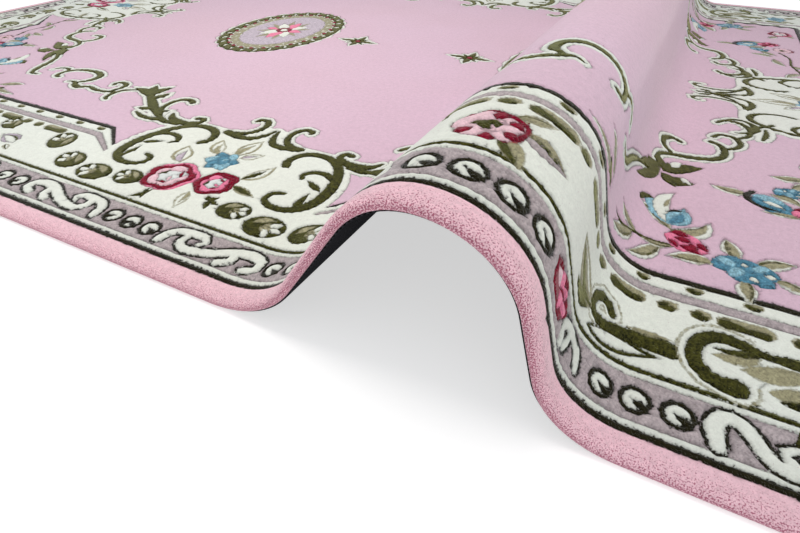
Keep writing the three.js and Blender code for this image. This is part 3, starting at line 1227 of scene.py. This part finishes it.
def badly_spanned(points, triangles, border_map, groove_width):
    """Middles of edges over which the groove's depth would be drawn out too far."""
    edges, _, _ = neighbour_pairs(triangles)
    distance, _ = border_map.nearest(points)
    low = np.minimum(distance[edges[:, 0]], distance[edges[:, 1]])
    length = np.linalg.norm(points[edges[:, 1]] - points[edges[:, 0]], axis=1)
    near = (low < groove_width / 2) & (length > SHORTEST_SPLIT)
    edges, length = edges[near], length[near]
    middles = points[edges].mean(1)
    spanned = np.minimum(distance[edges].mean(1), groove_width)
    true = np.minimum(border_map.nearest(middles)[0], groove_width)
    tolerance = np.where(length > LONG_SPAN, LONG_SPAN_TOLERANCE, SPAN_TOLERANCE)
    return middles[true - spanned > tolerance * groove_width]


def thinned(points, gap):
    """The points without those that share a small cell with an earlier one."""
    cells = np.round(points / gap).astype(int)
    _, first = np.unique(cells, axis=0, return_index=True)
    return points[np.sort(first)]


def rounded_outline(inset):
    """The rug's outline, moved in by an inset, anticlockwise from the front left corner's end."""
    corner_u, corner_v = HALF_LENGTH - CORNER_RADIUS, CORNER_RADIUS
    front = divided(np.array([(-corner_u, inset), (corner_u, inset)]), closed=False)
    radius = CORNER_RADIUS - inset
    angles = np.radians([-67.5, -45, -22.5])
    turn = np.stack([np.cos(angles), np.sin(angles)], 1) * radius + (corner_u, corner_v)
    count = math.ceil((WIDTH - 2 * corner_v) / FLAT_STEP)
    side_v = np.linspace(corner_v, WIDTH - corner_v, count + 1)
    side = np.stack([np.full(count + 1, HALF_LENGTH - inset), side_v], 1)
    half = np.vstack([front, turn, side])
    back_turn = (turn * (1, -1) + (0, WIDTH))[::-1]
    back = np.stack([front[::-1, 0], WIDTH - front[::-1, 1]], 1)
    left_side = np.stack([-side[::-1, 0], side[::-1, 1]], 1)
    back_left_turn = turn * (-1, -1) + (0, WIDTH)
    front_left_turn = turn[::-1] * (-1, 1)
    return np.vstack([half, back_turn, back, back_left_turn, left_side, front_left_turn])


# Relief, and the mesh of the pile

DARKEST_FIRST = (
    "dark", "olive", "crimson", "blue", "khaki", "rose", "sky", "lilac", "blush", "grey",
    "field", "edge", "cream", "white",
)
MOTTLED = {
    # how much a yarn's shade changes from tuft to tuft
    "dark": 0.55, "olive": 1.05, "crimson": 0.4, "blue": 0.6, "khaki": 0.4, "rose": 0.25, "sky": 0.55,
    "lilac": 0.3, "blush": 0.2, "grey": 0.34, "field": 0.08, "edge": 0.12, "cream": 0.07, "white": 0.1,
}
CRISP_BLEND = 0.15
SOFT_BLEND = 1.2
SOFT_DEPTH = 0.35
# Stands for the distance to a border where there is none near, in millimetres
FAR_FROM_SEAM = 100.0


def pile_plan(drawing, groove_width):
    """The flat mesh of the pile's top: points, triangles, area names and the border map."""
    ring = rounded_outline(EDGE_TOP_INSET)
    points, edges = [ring], loop_edges(0, len(ring))
    total = len(ring)
    for outline, _ in drawing.areas[1:]:
        line = divided(outline)
        points.append(line)
        edges += loop_edges(total, len(line))
        total += len(line)
    rough, triangles = triangulated(np.vstack(points), edges)
    names = topmost(rough[triangles].mean(1), drawing)
    names = without_slivers(rough, triangles, names, SMALLEST_AREA)
    edges, _, _ = borders(triangles, names)
    edges = [pair for run in chains(edges) for kept in [simpler(rough, run)] for pair in zip(kept, kept[1:])]

    used, edges = np.unique(np.array(edges), return_inverse=True)
    edges = edges.reshape(-1, 2)
    kept = rough[used]
    border_map = BorderMap(kept, edges, None)
    beside = np.vstack([beside_borders(kept, edges, groove_width), beyond_tips(kept, edges, groove_width)])
    beside = thinned(beside, groove_width * BESIDE_GAP)
    beside = beside[border_map.nearest(beside)[0] > groove_width * BESIDE_CLEAR]
    lattice = wave_lattice(WAVE_STEP, WAVE_STEP_ALONG, EDGE_TOP_INSET + LATTICE_EDGE_GAP)
    lattice = lattice[border_map.nearest(lattice)[0] > groove_width * LATTICE_CLEAR]
    all_points = np.vstack([ring, kept, beside, lattice])
    all_edges = loop_edges(0, len(ring)) + [(a + len(ring), b + len(ring)) for a, b in edges.tolist()]
    for _ in range(REFINEMENTS):
        points, triangles = triangulated(all_points, all_edges)
        middles = thinned(badly_spanned(points, triangles, border_map, groove_width), MIDDLES_GAP)
        all_points = np.vstack([all_points, middles])
    points, triangles, constraints = triangulated_with_edges(all_points, all_edges)
    names = region_names(points, triangles, constraints, drawing)
    edges, first, second = borders(triangles, names)
    return points, triangles, names, BorderMap(points, edges, np.stack([first, second], 1)), ring


def edge_rows():
    """Insets and lifts of the rounded edge, from the top down to the underside."""
    rows = []
    for step in range(1, EDGE_TOP_ROWS + 1):
        angle = math.pi / 2 * (1 - step / EDGE_TOP_ROWS)
        inset = EDGE_TOP_INSET * (1 - math.cos(angle))
        rows.append((inset, EDGE_WIDEST + (PILE_TOP - EDGE_WIDEST) * math.sin(angle)))
    for step in range(1, EDGE_UNDER_ROWS + 1):
        angle = math.pi / 2 * step / EDGE_UNDER_ROWS
        inset = EDGE_UNDER_INSET * (1 - math.cos(angle))
        rows.append((inset, EDGE_WIDEST - (EDGE_WIDEST - PILE_BOTTOM) * math.sin(angle)))
    return rows


def matched(points, wanted):
    """The numbers of the points that lie where the wanted ones do."""
    tree = tree_of(points)
    return np.array([tree.find((u, v, 0))[1] for u, v in wanted.tolist()])


def wall_between(upper, lower):
    """Two triangles for each side of two rings with as many vertices."""
    upper_next, lower_next = np.roll(upper, -1), np.roll(lower, -1)
    first = np.stack([upper, lower, lower_next], 1)
    second = np.stack([upper, lower_next, upper_next], 1)
    return np.vstack([first, second])


def anticlockwise(points, triangles):
    a, b, c = points[triangles[:, 0]], points[triangles[:, 1]], points[triangles[:, 2]]
    turned = (b[:, 0] - a[:, 0]) * (c[:, 1] - a[:, 1]) < (b[:, 1] - a[:, 1]) * (c[:, 0] - a[:, 0])
    triangles = triangles.copy()
    triangles[turned] = triangles[turned][:, ::-1]
    return triangles


class Shell:
    """Collects the vertices and triangles of a closed sheet, laid from the flat."""

    def __init__(self):
        self.flat = []
        self.lift = []
        self.cloth = []
        self.triangles = []
        self.count = 0

    def add(self, flat, lift, cloth=None):
        """Adds vertices and returns their numbers. Cloth holds their places on the yarn surface."""
        first = self.count
        self.flat.append(flat)
        self.lift.append(np.broadcast_to(np.asarray(lift, float), (len(flat),)))
        self.cloth.append(flat if cloth is None else cloth)
        self.count += len(flat)
        return np.arange(first, self.count)

    def mesh(self, name):
        flat, lift = np.vstack(self.flat), np.concatenate(self.lift)
        places = laid(flat, lift)
        triangles = np.vstack(self.triangles)
        mesh = bpy.data.meshes.new(name)
        mesh.vertices.add(len(places))
        mesh.vertices.foreach_set("co", places.ravel())
        mesh.loops.add(triangles.size)
        mesh.loops.foreach_set("vertex_index", triangles.ravel())
        mesh.polygons.add(len(triangles))
        mesh.polygons.foreach_set("loop_start", np.arange(0, triangles.size, 3))
        mesh.update(calc_edges=True)
        mesh.polygons.foreach_set("use_smooth", np.ones(len(triangles), bool))
        cloth = np.vstack(self.cloth)[triangles.ravel()] * MM
        layer = mesh.uv_layers.new(name="cloth")
        layer.uv.foreach_set("vector", cloth.ravel())
        return mesh


def close_shell(shell, ring, outline_at, rows):
    """Adds the edge rows and the underside to a shell that has its top. The rings start at rows[0]."""
    outward = outline_at(0.0) - outline_at(1.0)
    cloth = outline_at(rows[0][0])
    for (inset_above, lift_above), (inset, lift) in zip(rows, rows[1:]):
        cloth = cloth + outward * math.hypot(inset_above - inset, lift_above - lift)
        lower = shell.add(outline_at(inset), lift, cloth)
        shell.triangles.append(wall_between(ring, lower))
        ring = lower
    inset, lift = rows[-1]
    rim = outline_at(inset)
    lattice = wave_lattice(WAVE_STEP, UNDER_STEP_ALONG, inset + 12)
    points, triangles = triangulated(np.vstack([rim, lattice]), loop_edges(0, len(rim)))
    numbers = np.full(len(points), -1)
    numbers[matched(points, rim)] = ring
    inner = np.flatnonzero(numbers < 0)
    numbers[inner] = shell.add(points[inner], lift)
    shell.triangles.append(numbers[anticlockwise(points, triangles)][:, ::-1])


def pile_mesh(sizes, colours):
    """The pile's mesh, with its carved outlines and its yarn colours."""
    groove_width, groove_depth = sizes.groove_width / MM, sizes.groove_depth / MM
    drawing = draw_rug()
    points, triangles, names, border_map, ring = pile_plan(drawing, groove_width)
    triangles = anticlockwise(points, triangles)
    distance, border = border_map.nearest(points)
    ring_numbers = matched(points, ring)
    depth = groove_depth * np.clip(1 - distance / groove_width, 0, 1)
    depth[soft_pairs(drawing, border_map.names[border])] *= SOFT_DEPTH
    depth[ring_numbers] = 0.0
    shell = Shell()
    shell.add(points, PILE_TOP - depth)
    shell.triangles.append(triangles)
    close_shell(shell, ring_numbers, rounded_outline, [(EDGE_TOP_INSET, PILE_TOP), *edge_rows()])
    mesh = shell.mesh("pile")
    level_top(mesh, points)
    write_yarns(mesh, drawing, points, triangles, names, border_map, distance, colours)
    write_edge_share(mesh, points, np.concatenate(shell.lift))
    return mesh


def soft_pairs(drawing, pairs):
    """Which pairs of area names meet without a sharp line: khaki with any yarn, and the two blues."""
    yarns = [yarn for yarn, _ in drawing.names]
    khaki = np.array([yarn == "khaki" for yarn in yarns])[pairs].any(1)
    return khaki | np.array([yarn in ("blue", "sky") for yarn in yarns])[pairs].all(1)


def level_top(mesh, points):
    """Gives the pile's top the normals of the laid cloth, which the carving then turns in the shader."""
    normals = np.array([normal.vector[:] for normal in mesh.vertex_normals])
    normals[: len(points)] = wave_normals(points)
    mesh.normals_split_custom_set_from_vertices(normals.tolist())


def write_yarns(mesh, drawing, points, triangles, names, border_map, distance, colours):
    """Writes the yarns on both sides of the nearest border, and the distance from it in millimetres."""
    yarns = np.array([(*getattr(colours, yarn), MOTTLED[yarn]) for yarn, _ in drawing.names])
    rank = np.array([DARKEST_FIRST.index(yarn) for yarn, _ in drawing.names]) * 1000 + np.arange(len(yarns))
    _, edge = border_map.nearest(points[triangles].mean(1))
    pair = border_map.names[edge]
    swap = rank[pair[:, 0]] > rank[pair[:, 1]]
    pair[swap] = pair[swap][:, ::-1]
    strange = (pair != names[:, None]).all(1)
    pair[strange] = names[strange][:, None]
    sign = np.where(pair[:, 0] == names, 1.0, -1.0)
    seam = sign[:, None] * distance[triangles]
    seam[strange] = FAR_FROM_SEAM

    corners = len(mesh.loops)
    top = 3 * len(triangles)
    for name, column in (("yarn_over", 0), ("yarn_under", 1)):
        values = np.full((corners, 4), (*colours.edge, MOTTLED["edge"]))
        values[:top] = np.repeat(yarns[pair[:, column]], 3, 0)
        mesh.attributes.new(name, "FLOAT_COLOR", "CORNER").data.foreach_set("color", values.ravel())
    blend = np.where(soft_pairs(drawing, pair), SOFT_BLEND, CRISP_BLEND)
    written = (("seam", FAR_FROM_SEAM, seam.ravel()), ("blend", CRISP_BLEND, np.repeat(blend, 3)))
    for name, far, near_top in written:
        values = np.full(corners, far)
        values[:top] = near_top
        mesh.attributes.new(name, "FLOAT", "CORNER").data.foreach_set("value", values)


# The shader paints shade on the rounded edge by this share, darker towards the underside
def write_edge_share(mesh, points, lift):
    """Writes how far each vertex is round the edge: 0 at the edge band's inner side, 1 at its widest."""
    inset = np.minimum(HALF_LENGTH - abs(points[:, 0]), np.minimum(points[:, 1], WIDTH - points[:, 1]))
    band = np.clip((EDGE_BAND - inset) / (EDGE_BAND - EDGE_TOP_INSET), 0, 1)
    rounded = np.clip((PILE_TOP - lift[len(points):]) / (PILE_TOP - EDGE_WIDEST), 0, 1)
    share = np.concatenate([band * EDGE_TOP_SHARE, EDGE_TOP_SHARE + (1 - EDGE_TOP_SHARE) * rounded])
    mesh.attributes.new("edge_share", "FLOAT", "POINT").data.foreach_set("value", share)


def backing_mesh():
    """The backing cloth's mesh, a thin closed sheet under the pile."""
    rim = rounded_outline(BACKING_INSET)
    lattice = wave_lattice(WAVE_STEP, UNDER_STEP_ALONG, BACKING_INSET + 12)
    points, triangles = triangulated(np.vstack([rim, lattice]), loop_edges(0, len(rim)))
    shell = Shell()
    shell.add(points, BACKING_THICKNESS)
    shell.triangles.append(anticlockwise(points, triangles))
    rows = [(BACKING_INSET, BACKING_THICKNESS), (BACKING_INSET, 0.0)]
    close_shell(shell, matched(points, rim), rounded_outline, rows)
    return shell.mesh("backing")


# Materials

# Painted shade: what the colour is multiplied by in the dark gaps between tufts
TUFT_GAP_SHADE_TINT = (0.5, 0.24, 0.32)
# The sheen of the deep yarns; the pale ones keep a white sheen
DEEP_SHEEN = (0.82, 0.84, 0.46)
WHITE = (1, 1, 1, 1)
# The wave texture at scale 1 has this many bands to a unit of its input
RIB_WAVE_UNIT = 20 / math.tau


def node(tree, kind, inputs=None, **settings):
    """Adds a node. Each input is a plain value or the socket that feeds it."""
    made = tree.nodes.new(kind)
    for name, value in settings.items():
        setattr(made, name, value)
    for key, value in (inputs or {}).items():
        if isinstance(value, bpy.types.NodeSocket):
            tree.links.new(value, made.inputs[key])
        else:
            made.inputs[key].default_value = value
    return made


def maths(tree, operation, *values):
    made = node(tree, "ShaderNodeMath", dict(enumerate(values)), operation=operation)
    return made.outputs[0]


def ranged(tree, value, low, high, to_low, to_high, smooth=False):
    inputs = {"Value": value, "From Min": low, "From Max": high, "To Min": to_low, "To Max": to_high}
    made = node(tree, "ShaderNodeMapRange", inputs)
    if smooth:
        made.interpolation_type = "SMOOTHSTEP"
    return made.outputs["Result"]


def mixed(tree, factor, first, second, blend="MIX"):
    made = node(tree, "ShaderNodeMix", data_type="RGBA", blend_type=blend)
    for socket, value in ((0, factor), (6, first), (7, second)):
        if isinstance(value, bpy.types.NodeSocket):
            tree.links.new(value, made.inputs[socket])
        else:
            made.inputs[socket].default_value = value
    return made.outputs[2]


def shaded(tree, colour, brightness):
    """A colour times a brightness that varies over the surface."""
    scaled = node(tree, "ShaderNodeVectorMath", {0: colour, "Scale": brightness}, operation="SCALE")
    return scaled.outputs["Vector"]


def new_material(name):
    material = bpy.data.materials.new(name)
    material.use_nodes = True
    tree = material.node_tree
    return material, tree, tree.nodes["Principled BSDF"]


def attribute(tree, name):
    return node(tree, "ShaderNodeAttribute", attribute_name=name)


def yarn_material(sizes):
    """Cut wool pile. Tufts at a colour border lean both ways, and the border is carved. Painted shade darkens
    the carved lines, the gaps between tufts and the underside of the edge.
    """
    material, tree, shader = new_material("Cut pile yarn")
    cloth = node(tree, "ShaderNodeUVMap", uv_map="cloth").outputs["UV"]
    per_metre = 1 / sizes.tuft_size
    seam = attribute(tree, "seam").outputs["Fac"]
    edge_share = attribute(tree, "edge_share").outputs["Fac"]
    tufts = node(tree, "ShaderNodeTexVoronoi", {"Vector": cloth, "Scale": per_metre})
    tuft_random = node(tree, "ShaderNodeSeparateColor", {"Color": tufts.outputs["Color"]}).outputs
    grain = node(tree, "ShaderNodeTexNoise", {"Vector": cloth, "Scale": 1.2 * per_metre, "Detail": 2.0})
    drift = node(tree, "ShaderNodeTexNoise", {"Vector": cloth, "Scale": per_metre / 3.2, "Detail": 1.0})
    clumps = node(tree, "ShaderNodeTexNoise", {"Vector": cloth, "Scale": per_metre / 5, "Detail": 3.0})
    patches = node(tree, "ShaderNodeTexNoise", {
        "Vector": cloth, "Scale": 3.2, "Detail": 4.0, "Roughness": 0.6,
    })
    hues = node(tree, "ShaderNodeTexNoise", {"Vector": cloth, "Scale": 1.6, "Detail": 3.0})

    wander = ranged(tree, drift.outputs["Fac"], 0.2, 0.8, -1.1, 1.1)
    jump = ranged(tree, tuft_random["Red"], 0.0, 1.0, -0.6, 0.6)
    blend = attribute(tree, "blend").outputs["Fac"]
    threshold = maths(tree, "SUBTRACT", maths(tree, "ADD", wander, jump), 0.2)
    past = maths(tree, "SUBTRACT", seam, threshold)
    over = ranged(tree, past, maths(tree, "MULTIPLY", blend, -1.0), blend, 0.0, 1.0)
    under_yarn, over_yarn = attribute(tree, "yarn_under"), attribute(tree, "yarn_over")
    colour = mixed(tree, over, under_yarn.outputs["Color"], over_yarn.outputs["Color"])
    alphas = {0: over, 2: under_yarn.outputs["Alpha"], 3: over_yarn.outputs["Alpha"]}
    mottling = node(tree, "ShaderNodeMix", alphas).outputs[0]

    lilac_share = ranged(tree, hues.outputs["Fac"], 0.35, 0.7, 0.0, 0.45)
    colour = mixed(tree, lilac_share, colour, mixed(tree, 1.0, colour, (0.94, 0.99, 1.06, 1), "MULTIPLY"))
    line = maths(tree, "MULTIPLY", threshold, 0.7)
    from_seam = maths(tree, "ABSOLUTE", maths(tree, "SUBTRACT", seam, line))
    # Painted shade along the carved lines: darkest at a border, weaker where soft yarns meet
    groove_shade = ranged(tree, blend, CRISP_BLEND, SOFT_BLEND, 0.5, 0.85)
    groove = ranged(tree, from_seam, 0.0, 1.8, groove_shade, 1.0, smooth=True)
    patch = ranged(tree, patches.outputs["Fac"], 0.3, 0.7, 0.97, 1.03)
    tuft = ranged(tree, tuft_random["Green"], 0.0, 1.0, -0.6, 0.6)
    clump = ranged(tree, clumps.outputs["Fac"], 0.3, 0.7, -0.6, 0.6)
    shade = maths(tree, "MULTIPLY_ADD", maths(tree, "ADD", tuft, clump), mottling, 1.0)
    # Painted shade in the gaps between tufts: dark specks that grow denser towards the underside of the edge
    gap_shade_limit = ranged(tree, edge_share, 0.0, 1.0, 0.7, 0.46)
    gap_shade_share = ranged(tree, maths(tree, "SUBTRACT", grain.outputs["Fac"], gap_shade_limit), -0.03, 0.05, 0.0, 1.0)
    # Painted shade: the edge band grows darker towards its underside
    edge_underside_shade = ranged(tree, edge_share, 0.6, 1.0, 1.0, 0.86)
    brightness = groove
    for share in (patch, shade, edge_underside_shade):
        brightness = maths(tree, "MULTIPLY", brightness, share)
    colour = shaded(tree, colour, brightness)
    colour = mixed(tree, gap_shade_share, colour, mixed(tree, 1.0, colour, (*TUFT_GAP_SHADE_TINT, 1), "MULTIPLY"))

    carved = ranged(tree, blend, CRISP_BLEND, SOFT_BLEND, 1.7, 0.3)
    level = ranged(tree, from_seam, 0.0, 3.0, 0.0, carved, smooth=True)
    lumps = maths(tree, "MULTIPLY", maths(tree, "SUBTRACT", 1.0, tufts.outputs["Distance"]), 0.35)
    height = maths(tree, "ADD", level, lumps)
    height = maths(tree, "ADD", height, maths(tree, "MULTIPLY", clumps.outputs["Fac"], 0.3))
    bump = node(tree, "ShaderNodeBump", {"Height": height, "Strength": 0.8, "Distance": 0.001})
    tree.links.new(colour, shader.inputs["Base Color"])
    tree.links.new(bump.outputs["Normal"], shader.inputs["Normal"])
    shader.inputs["Roughness"].default_value = 1.0
    shader.inputs["Specular IOR Level"].default_value = 0.08
    tree.links.new(ranged(tree, mottling, 0.3, 1.0, 0.4, 1.0), shader.inputs["Sheen Weight"])
    deep_share = ranged(tree, mottling, 0.55, 1.0, 0.0, 1.0)
    tree.links.new(mixed(tree, deep_share, WHITE, (*DEEP_SHEEN, 1)), shader.inputs["Sheen Tint"])
    shader.inputs["Sheen Roughness"].default_value = 0.35
    return material


def backing_material(sizes, colours):
    """Dark ribbed cloth."""
    material, tree, shader = new_material("Ribbed backing")
    cloth = node(tree, "ShaderNodeUVMap", uv_map="cloth").outputs["UV"]
    ribs = node(tree, "ShaderNodeTexWave", {
        "Vector": cloth, "Scale": 1 / (sizes.rib_gap * RIB_WAVE_UNIT),
        "Distortion": 0.15, "Detail": 1.0, "Detail Scale": 2.0,
    }, bands_direction="X")
    lint = node(tree, "ShaderNodeTexNoise", {"Vector": cloth, "Scale": 900.0, "Detail": 2.0})
    shade = ranged(tree, ribs.outputs["Fac"], 0.0, 1.0, 0.1, 5.0)
    shade = maths(tree, "MULTIPLY", shade, ranged(tree, lint.outputs["Fac"], 0.3, 0.7, 0.8, 1.2))
    base = node(tree, "ShaderNodeRGB")
    base.outputs[0].default_value = (*colours.backing, 1)
    colour = shaded(tree, base.outputs[0], shade)
    height = maths(tree, "ADD", ribs.outputs["Fac"], maths(tree, "MULTIPLY", lint.outputs["Fac"], 0.4))
    bump = node(tree, "ShaderNodeBump", {"Height": height, "Strength": 0.8, "Distance": 0.0008})
    tree.links.new(colour, shader.inputs["Base Color"])
    tree.links.new(bump.outputs["Normal"], shader.inputs["Normal"])
    shader.inputs["Roughness"].default_value = 0.9
    shader.inputs["Specular IOR Level"].default_value = 0.0
    return material


# Stage

CAMERA_PLACE = (0.7064, -1.2726, 0.4111)
CAMERA_TILT = 50.02
CAMERA_TURN = 26.763
CAMERA_LENS = 21.81
CAMERA_SENSOR = 36.0
SKY_COLOUR = (0.97, 1.0, 1.03)
KEY_COLOUR = (1.05, 1.0, 0.96)
KEY_PLACE = (-0.25, -0.7, 3.4)
KEY_AIM = (-0.12, -0.2, 0.0)
KEY_SIZE = 1.3
KEY_SPREAD = 66
FILL_PLACE = (2.6, -0.9, 0.75)
FILL_AIM = (0.7, -0.5, 0.1)
FILL_SIZE = 1.0
FILL_SPREAD = 100
FLOOR_SIZE = 40.0


def add_floor(studio):
    bpy.ops.mesh.primitive_plane_add(size=FLOOR_SIZE, location=(0, 0, 0))
    floor = bpy.context.object
    floor.name = "floor"
    material, _, shader = new_material("Pale floor")
    shader.inputs["Base Color"].default_value = (*studio.floor, 1)
    shader.inputs["Emission Color"].default_value = (1, 1, 1, 1)
    shader.inputs["Emission Strength"].default_value = studio.glow
    shader.inputs["Roughness"].default_value = 0.9
    shader.inputs["Specular IOR Level"].default_value = 0.1
    floor.data.materials.append(material)


def add_area_light(name, place, aim, size, power, spread, colour=(1, 1, 1)):
    light = bpy.data.lights.new(name, "AREA")
    light.color = colour
    light.spread = math.radians(spread)
    light.shape = "DISK"
    light.size = size
    light.energy = power
    holder = bpy.data.objects.new(name, light)
    holder.location = place
    holder.rotation_euler = (Vector(aim) - Vector(place)).to_track_quat("-Z", "Y").to_euler()
    bpy.context.scene.collection.objects.link(holder)


def add_camera():
    camera = bpy.data.cameras.new("camera")
    camera.sensor_fit = "HORIZONTAL"
    camera.sensor_width = CAMERA_SENSOR
    camera.lens = CAMERA_LENS
    camera.clip_start = 0.02
    holder = bpy.data.objects.new("camera", camera)
    holder.location = CAMERA_PLACE
    holder.rotation_euler = (math.radians(CAMERA_TILT), 0, math.radians(CAMERA_TURN))
    bpy.context.scene.collection.objects.link(holder)
    bpy.context.scene.camera = holder


def add_world(strength):
    world = bpy.data.worlds.new("studio")
    world.use_nodes = True
    background = world.node_tree.nodes["Background"]
    background.inputs["Color"].default_value = (*SKY_COLOUR, 1)
    background.inputs["Strength"].default_value = strength
    bpy.context.scene.world = world


# The add-on's sizes, colours and operators


def colour_property(name, description, value):
    return FloatVectorProperty(
        name=name, description=description, default=value, size=3, min=0, max=1, subtype="COLOR"
    )


class RugSizes(bpy.types.PropertyGroup):
    """Sizes of the carving and the yarn."""

    groove_depth: FloatProperty(
        name="Groove depth", description="How deep the outlines are carved into the pile",
        default=0.0026, min=0, max=0.008, unit="LENGTH",
    )
    groove_width: FloatProperty(
        name="Groove half width", description="From the middle of a carved line to its shoulder",
        default=0.003, min=0.001, max=0.006, unit="LENGTH",
    )
    tuft_size: FloatProperty(
        name="Tuft", description="Distance between the cut ends of the yarn",
        default=0.0017, min=0.0005, max=0.005, unit="LENGTH",
    )
    rib_gap: FloatProperty(
        name="Rib", description="Distance between the ribs of the backing cloth",
        default=0.0065, min=0.001, max=0.02, unit="LENGTH",
    )


class RugColours(bpy.types.PropertyGroup):
    """Colours of the yarns and of the backing cloth."""

    field: colour_property("Field", "Pink ground of the middle", tone(223, 190, 205))
    edge: colour_property("Edge", "Pink band round the rug", tone(246, 202, 210))
    cream: colour_property("Cream", "Ground of the borders", tone(236, 238, 226))
    white: colour_property("White", "Hearts of the roses", tone(228, 232, 228))
    dark: colour_property("Dark olive", "Thick lines and thin rims", tone(36, 33, 16))
    olive: colour_property("Olive", "Scrolls and ovals", tone(58, 57, 20))
    khaki: colour_property("Khaki", "Light leaves", tone(158, 152, 120))
    grey: colour_property("Lilac grey", "Ground of the guard border", tone(180, 167, 167))
    lilac: colour_property("Lilac", "Pale leaves", tone(196, 182, 192))
    crimson: colour_property("Crimson", "Rims of the roses", tone(134, 12, 42))
    rose: colour_property("Rose pink", "Halos of the roses", tone(240, 132, 164))
    blush: colour_property("Blush", "Petals of the roses", tone(240, 202, 209))
    blue: colour_property("Blue", "Blue flowers", tone(78, 130, 152))
    sky: colour_property("Light blue", "Lights of the blue flowers", tone(140, 184, 198))
    backing: colour_property("Backing", "Cloth under the pile", tone(23, 23, 25))


class RugStudio(bpy.types.PropertyGroup):
    """Floor and light."""

    floor: colour_property("Floor", "Floor under the rug", (0.62, 0.62, 0.62))
    glow: FloatProperty(
        name="Floor glow", description="How far the floor is lit from below", default=0.6, min=0,
    )
    world: FloatProperty(name="Sky light", description="Even light from all round", default=0.6, min=0)
    key: FloatProperty(
        name="Key light", description="Power of the large light", default=8.6, min=0, unit="POWER",
    )
    fill: FloatProperty(
        name="Fill light", description="Power of the low light", default=0.9, min=0, unit="POWER",
    )


class RUG_OT_stage(bpy.types.Operator):
    """Add the floor, the lights and the camera"""

    bl_idname = "rug.stage"
    bl_label = "Stage"

    def execute(self, context):
        studio = context.scene.rug_studio
        add_floor(studio)
        add_world(studio.world)
        add_area_light("key", KEY_PLACE, KEY_AIM, KEY_SIZE, studio.key, KEY_SPREAD, KEY_COLOUR)
        add_area_light("fill", FILL_PLACE, FILL_AIM, FILL_SIZE, studio.fill, FILL_SPREAD)
        add_camera()
        context.scene.view_settings.view_transform = "Standard"
        return {"FINISHED"}


class RUG_OT_backing(bpy.types.Operator):
    """Add the backing cloth"""

    bl_idname = "rug.backing"
    bl_label = "Backing"

    def execute(self, context):
        scene = context.scene
        piece = add_piece("backing", backing_mesh(), backing_material(scene.rug_sizes, scene.rug_colours))
        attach(piece, "root")
        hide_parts("backing_cloth")
        return {"FINISHED"}


class RUG_OT_pile(bpy.types.Operator):
    """Add the cut pile with its carved drawing"""

    bl_idname = "rug.pile"
    bl_label = "Pile"

    def execute(self, context):
        scene = context.scene
        mesh = pile_mesh(scene.rug_sizes, scene.rug_colours)
        piece = add_piece("pile", mesh, yarn_material(scene.rug_sizes))
        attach(piece, "root")
        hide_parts("pile_carpet")
        return {"FINISHED"}


def add_piece(name, mesh, material):
    piece = bpy.data.objects.new(name, mesh)
    mesh.materials.append(material)
    bpy.context.scene.collection.objects.link(piece)
    return piece


class RUG_PT_panel(bpy.types.Panel):
    """Lists the rug's sizes, colours and operators."""

    bl_idname = "RUG_PT_panel"
    bl_label = "Rug"
    bl_space_type = "VIEW_3D"
    bl_region_type = "UI"
    bl_category = "Rug"

    def draw(self, context):
        layout = self.layout
        scene = context.scene
        for group in (scene.rug_sizes, scene.rug_colours, scene.rug_studio):
            for name in group.__annotations__:
                layout.prop(group, name)
        for operator in ("rug.stage", "rug.backing", "rug.pile"):
            layout.operator(operator)


CLASSES = (RugSizes, RugColours, RugStudio, RUG_OT_stage, RUG_OT_backing, RUG_OT_pile, RUG_PT_panel)
GROUPS = {"rug_sizes": RugSizes, "rug_colours": RugColours, "rug_studio": RugStudio}


def register():
    for item in CLASSES:
        bpy.utils.register_class(item)
    for name, group in GROUPS.items():
        setattr(bpy.types.Scene, name, PointerProperty(type=group))


def unregister():
    for name in GROUPS:
        delattr(bpy.types.Scene, name)
    for item in reversed(CLASSES):
        bpy.utils.unregister_class(item)


def corners(box):
    return [list(corner) for corner in box]


def main():
    register()
    bpy.ops.object.select_all(action="DESELECT")
    bpy.ops.rug.stage()
    bpy.ops.rug.backing()
    bpy.ops.rug.pile()


if __name__ == "__main__":
    main()
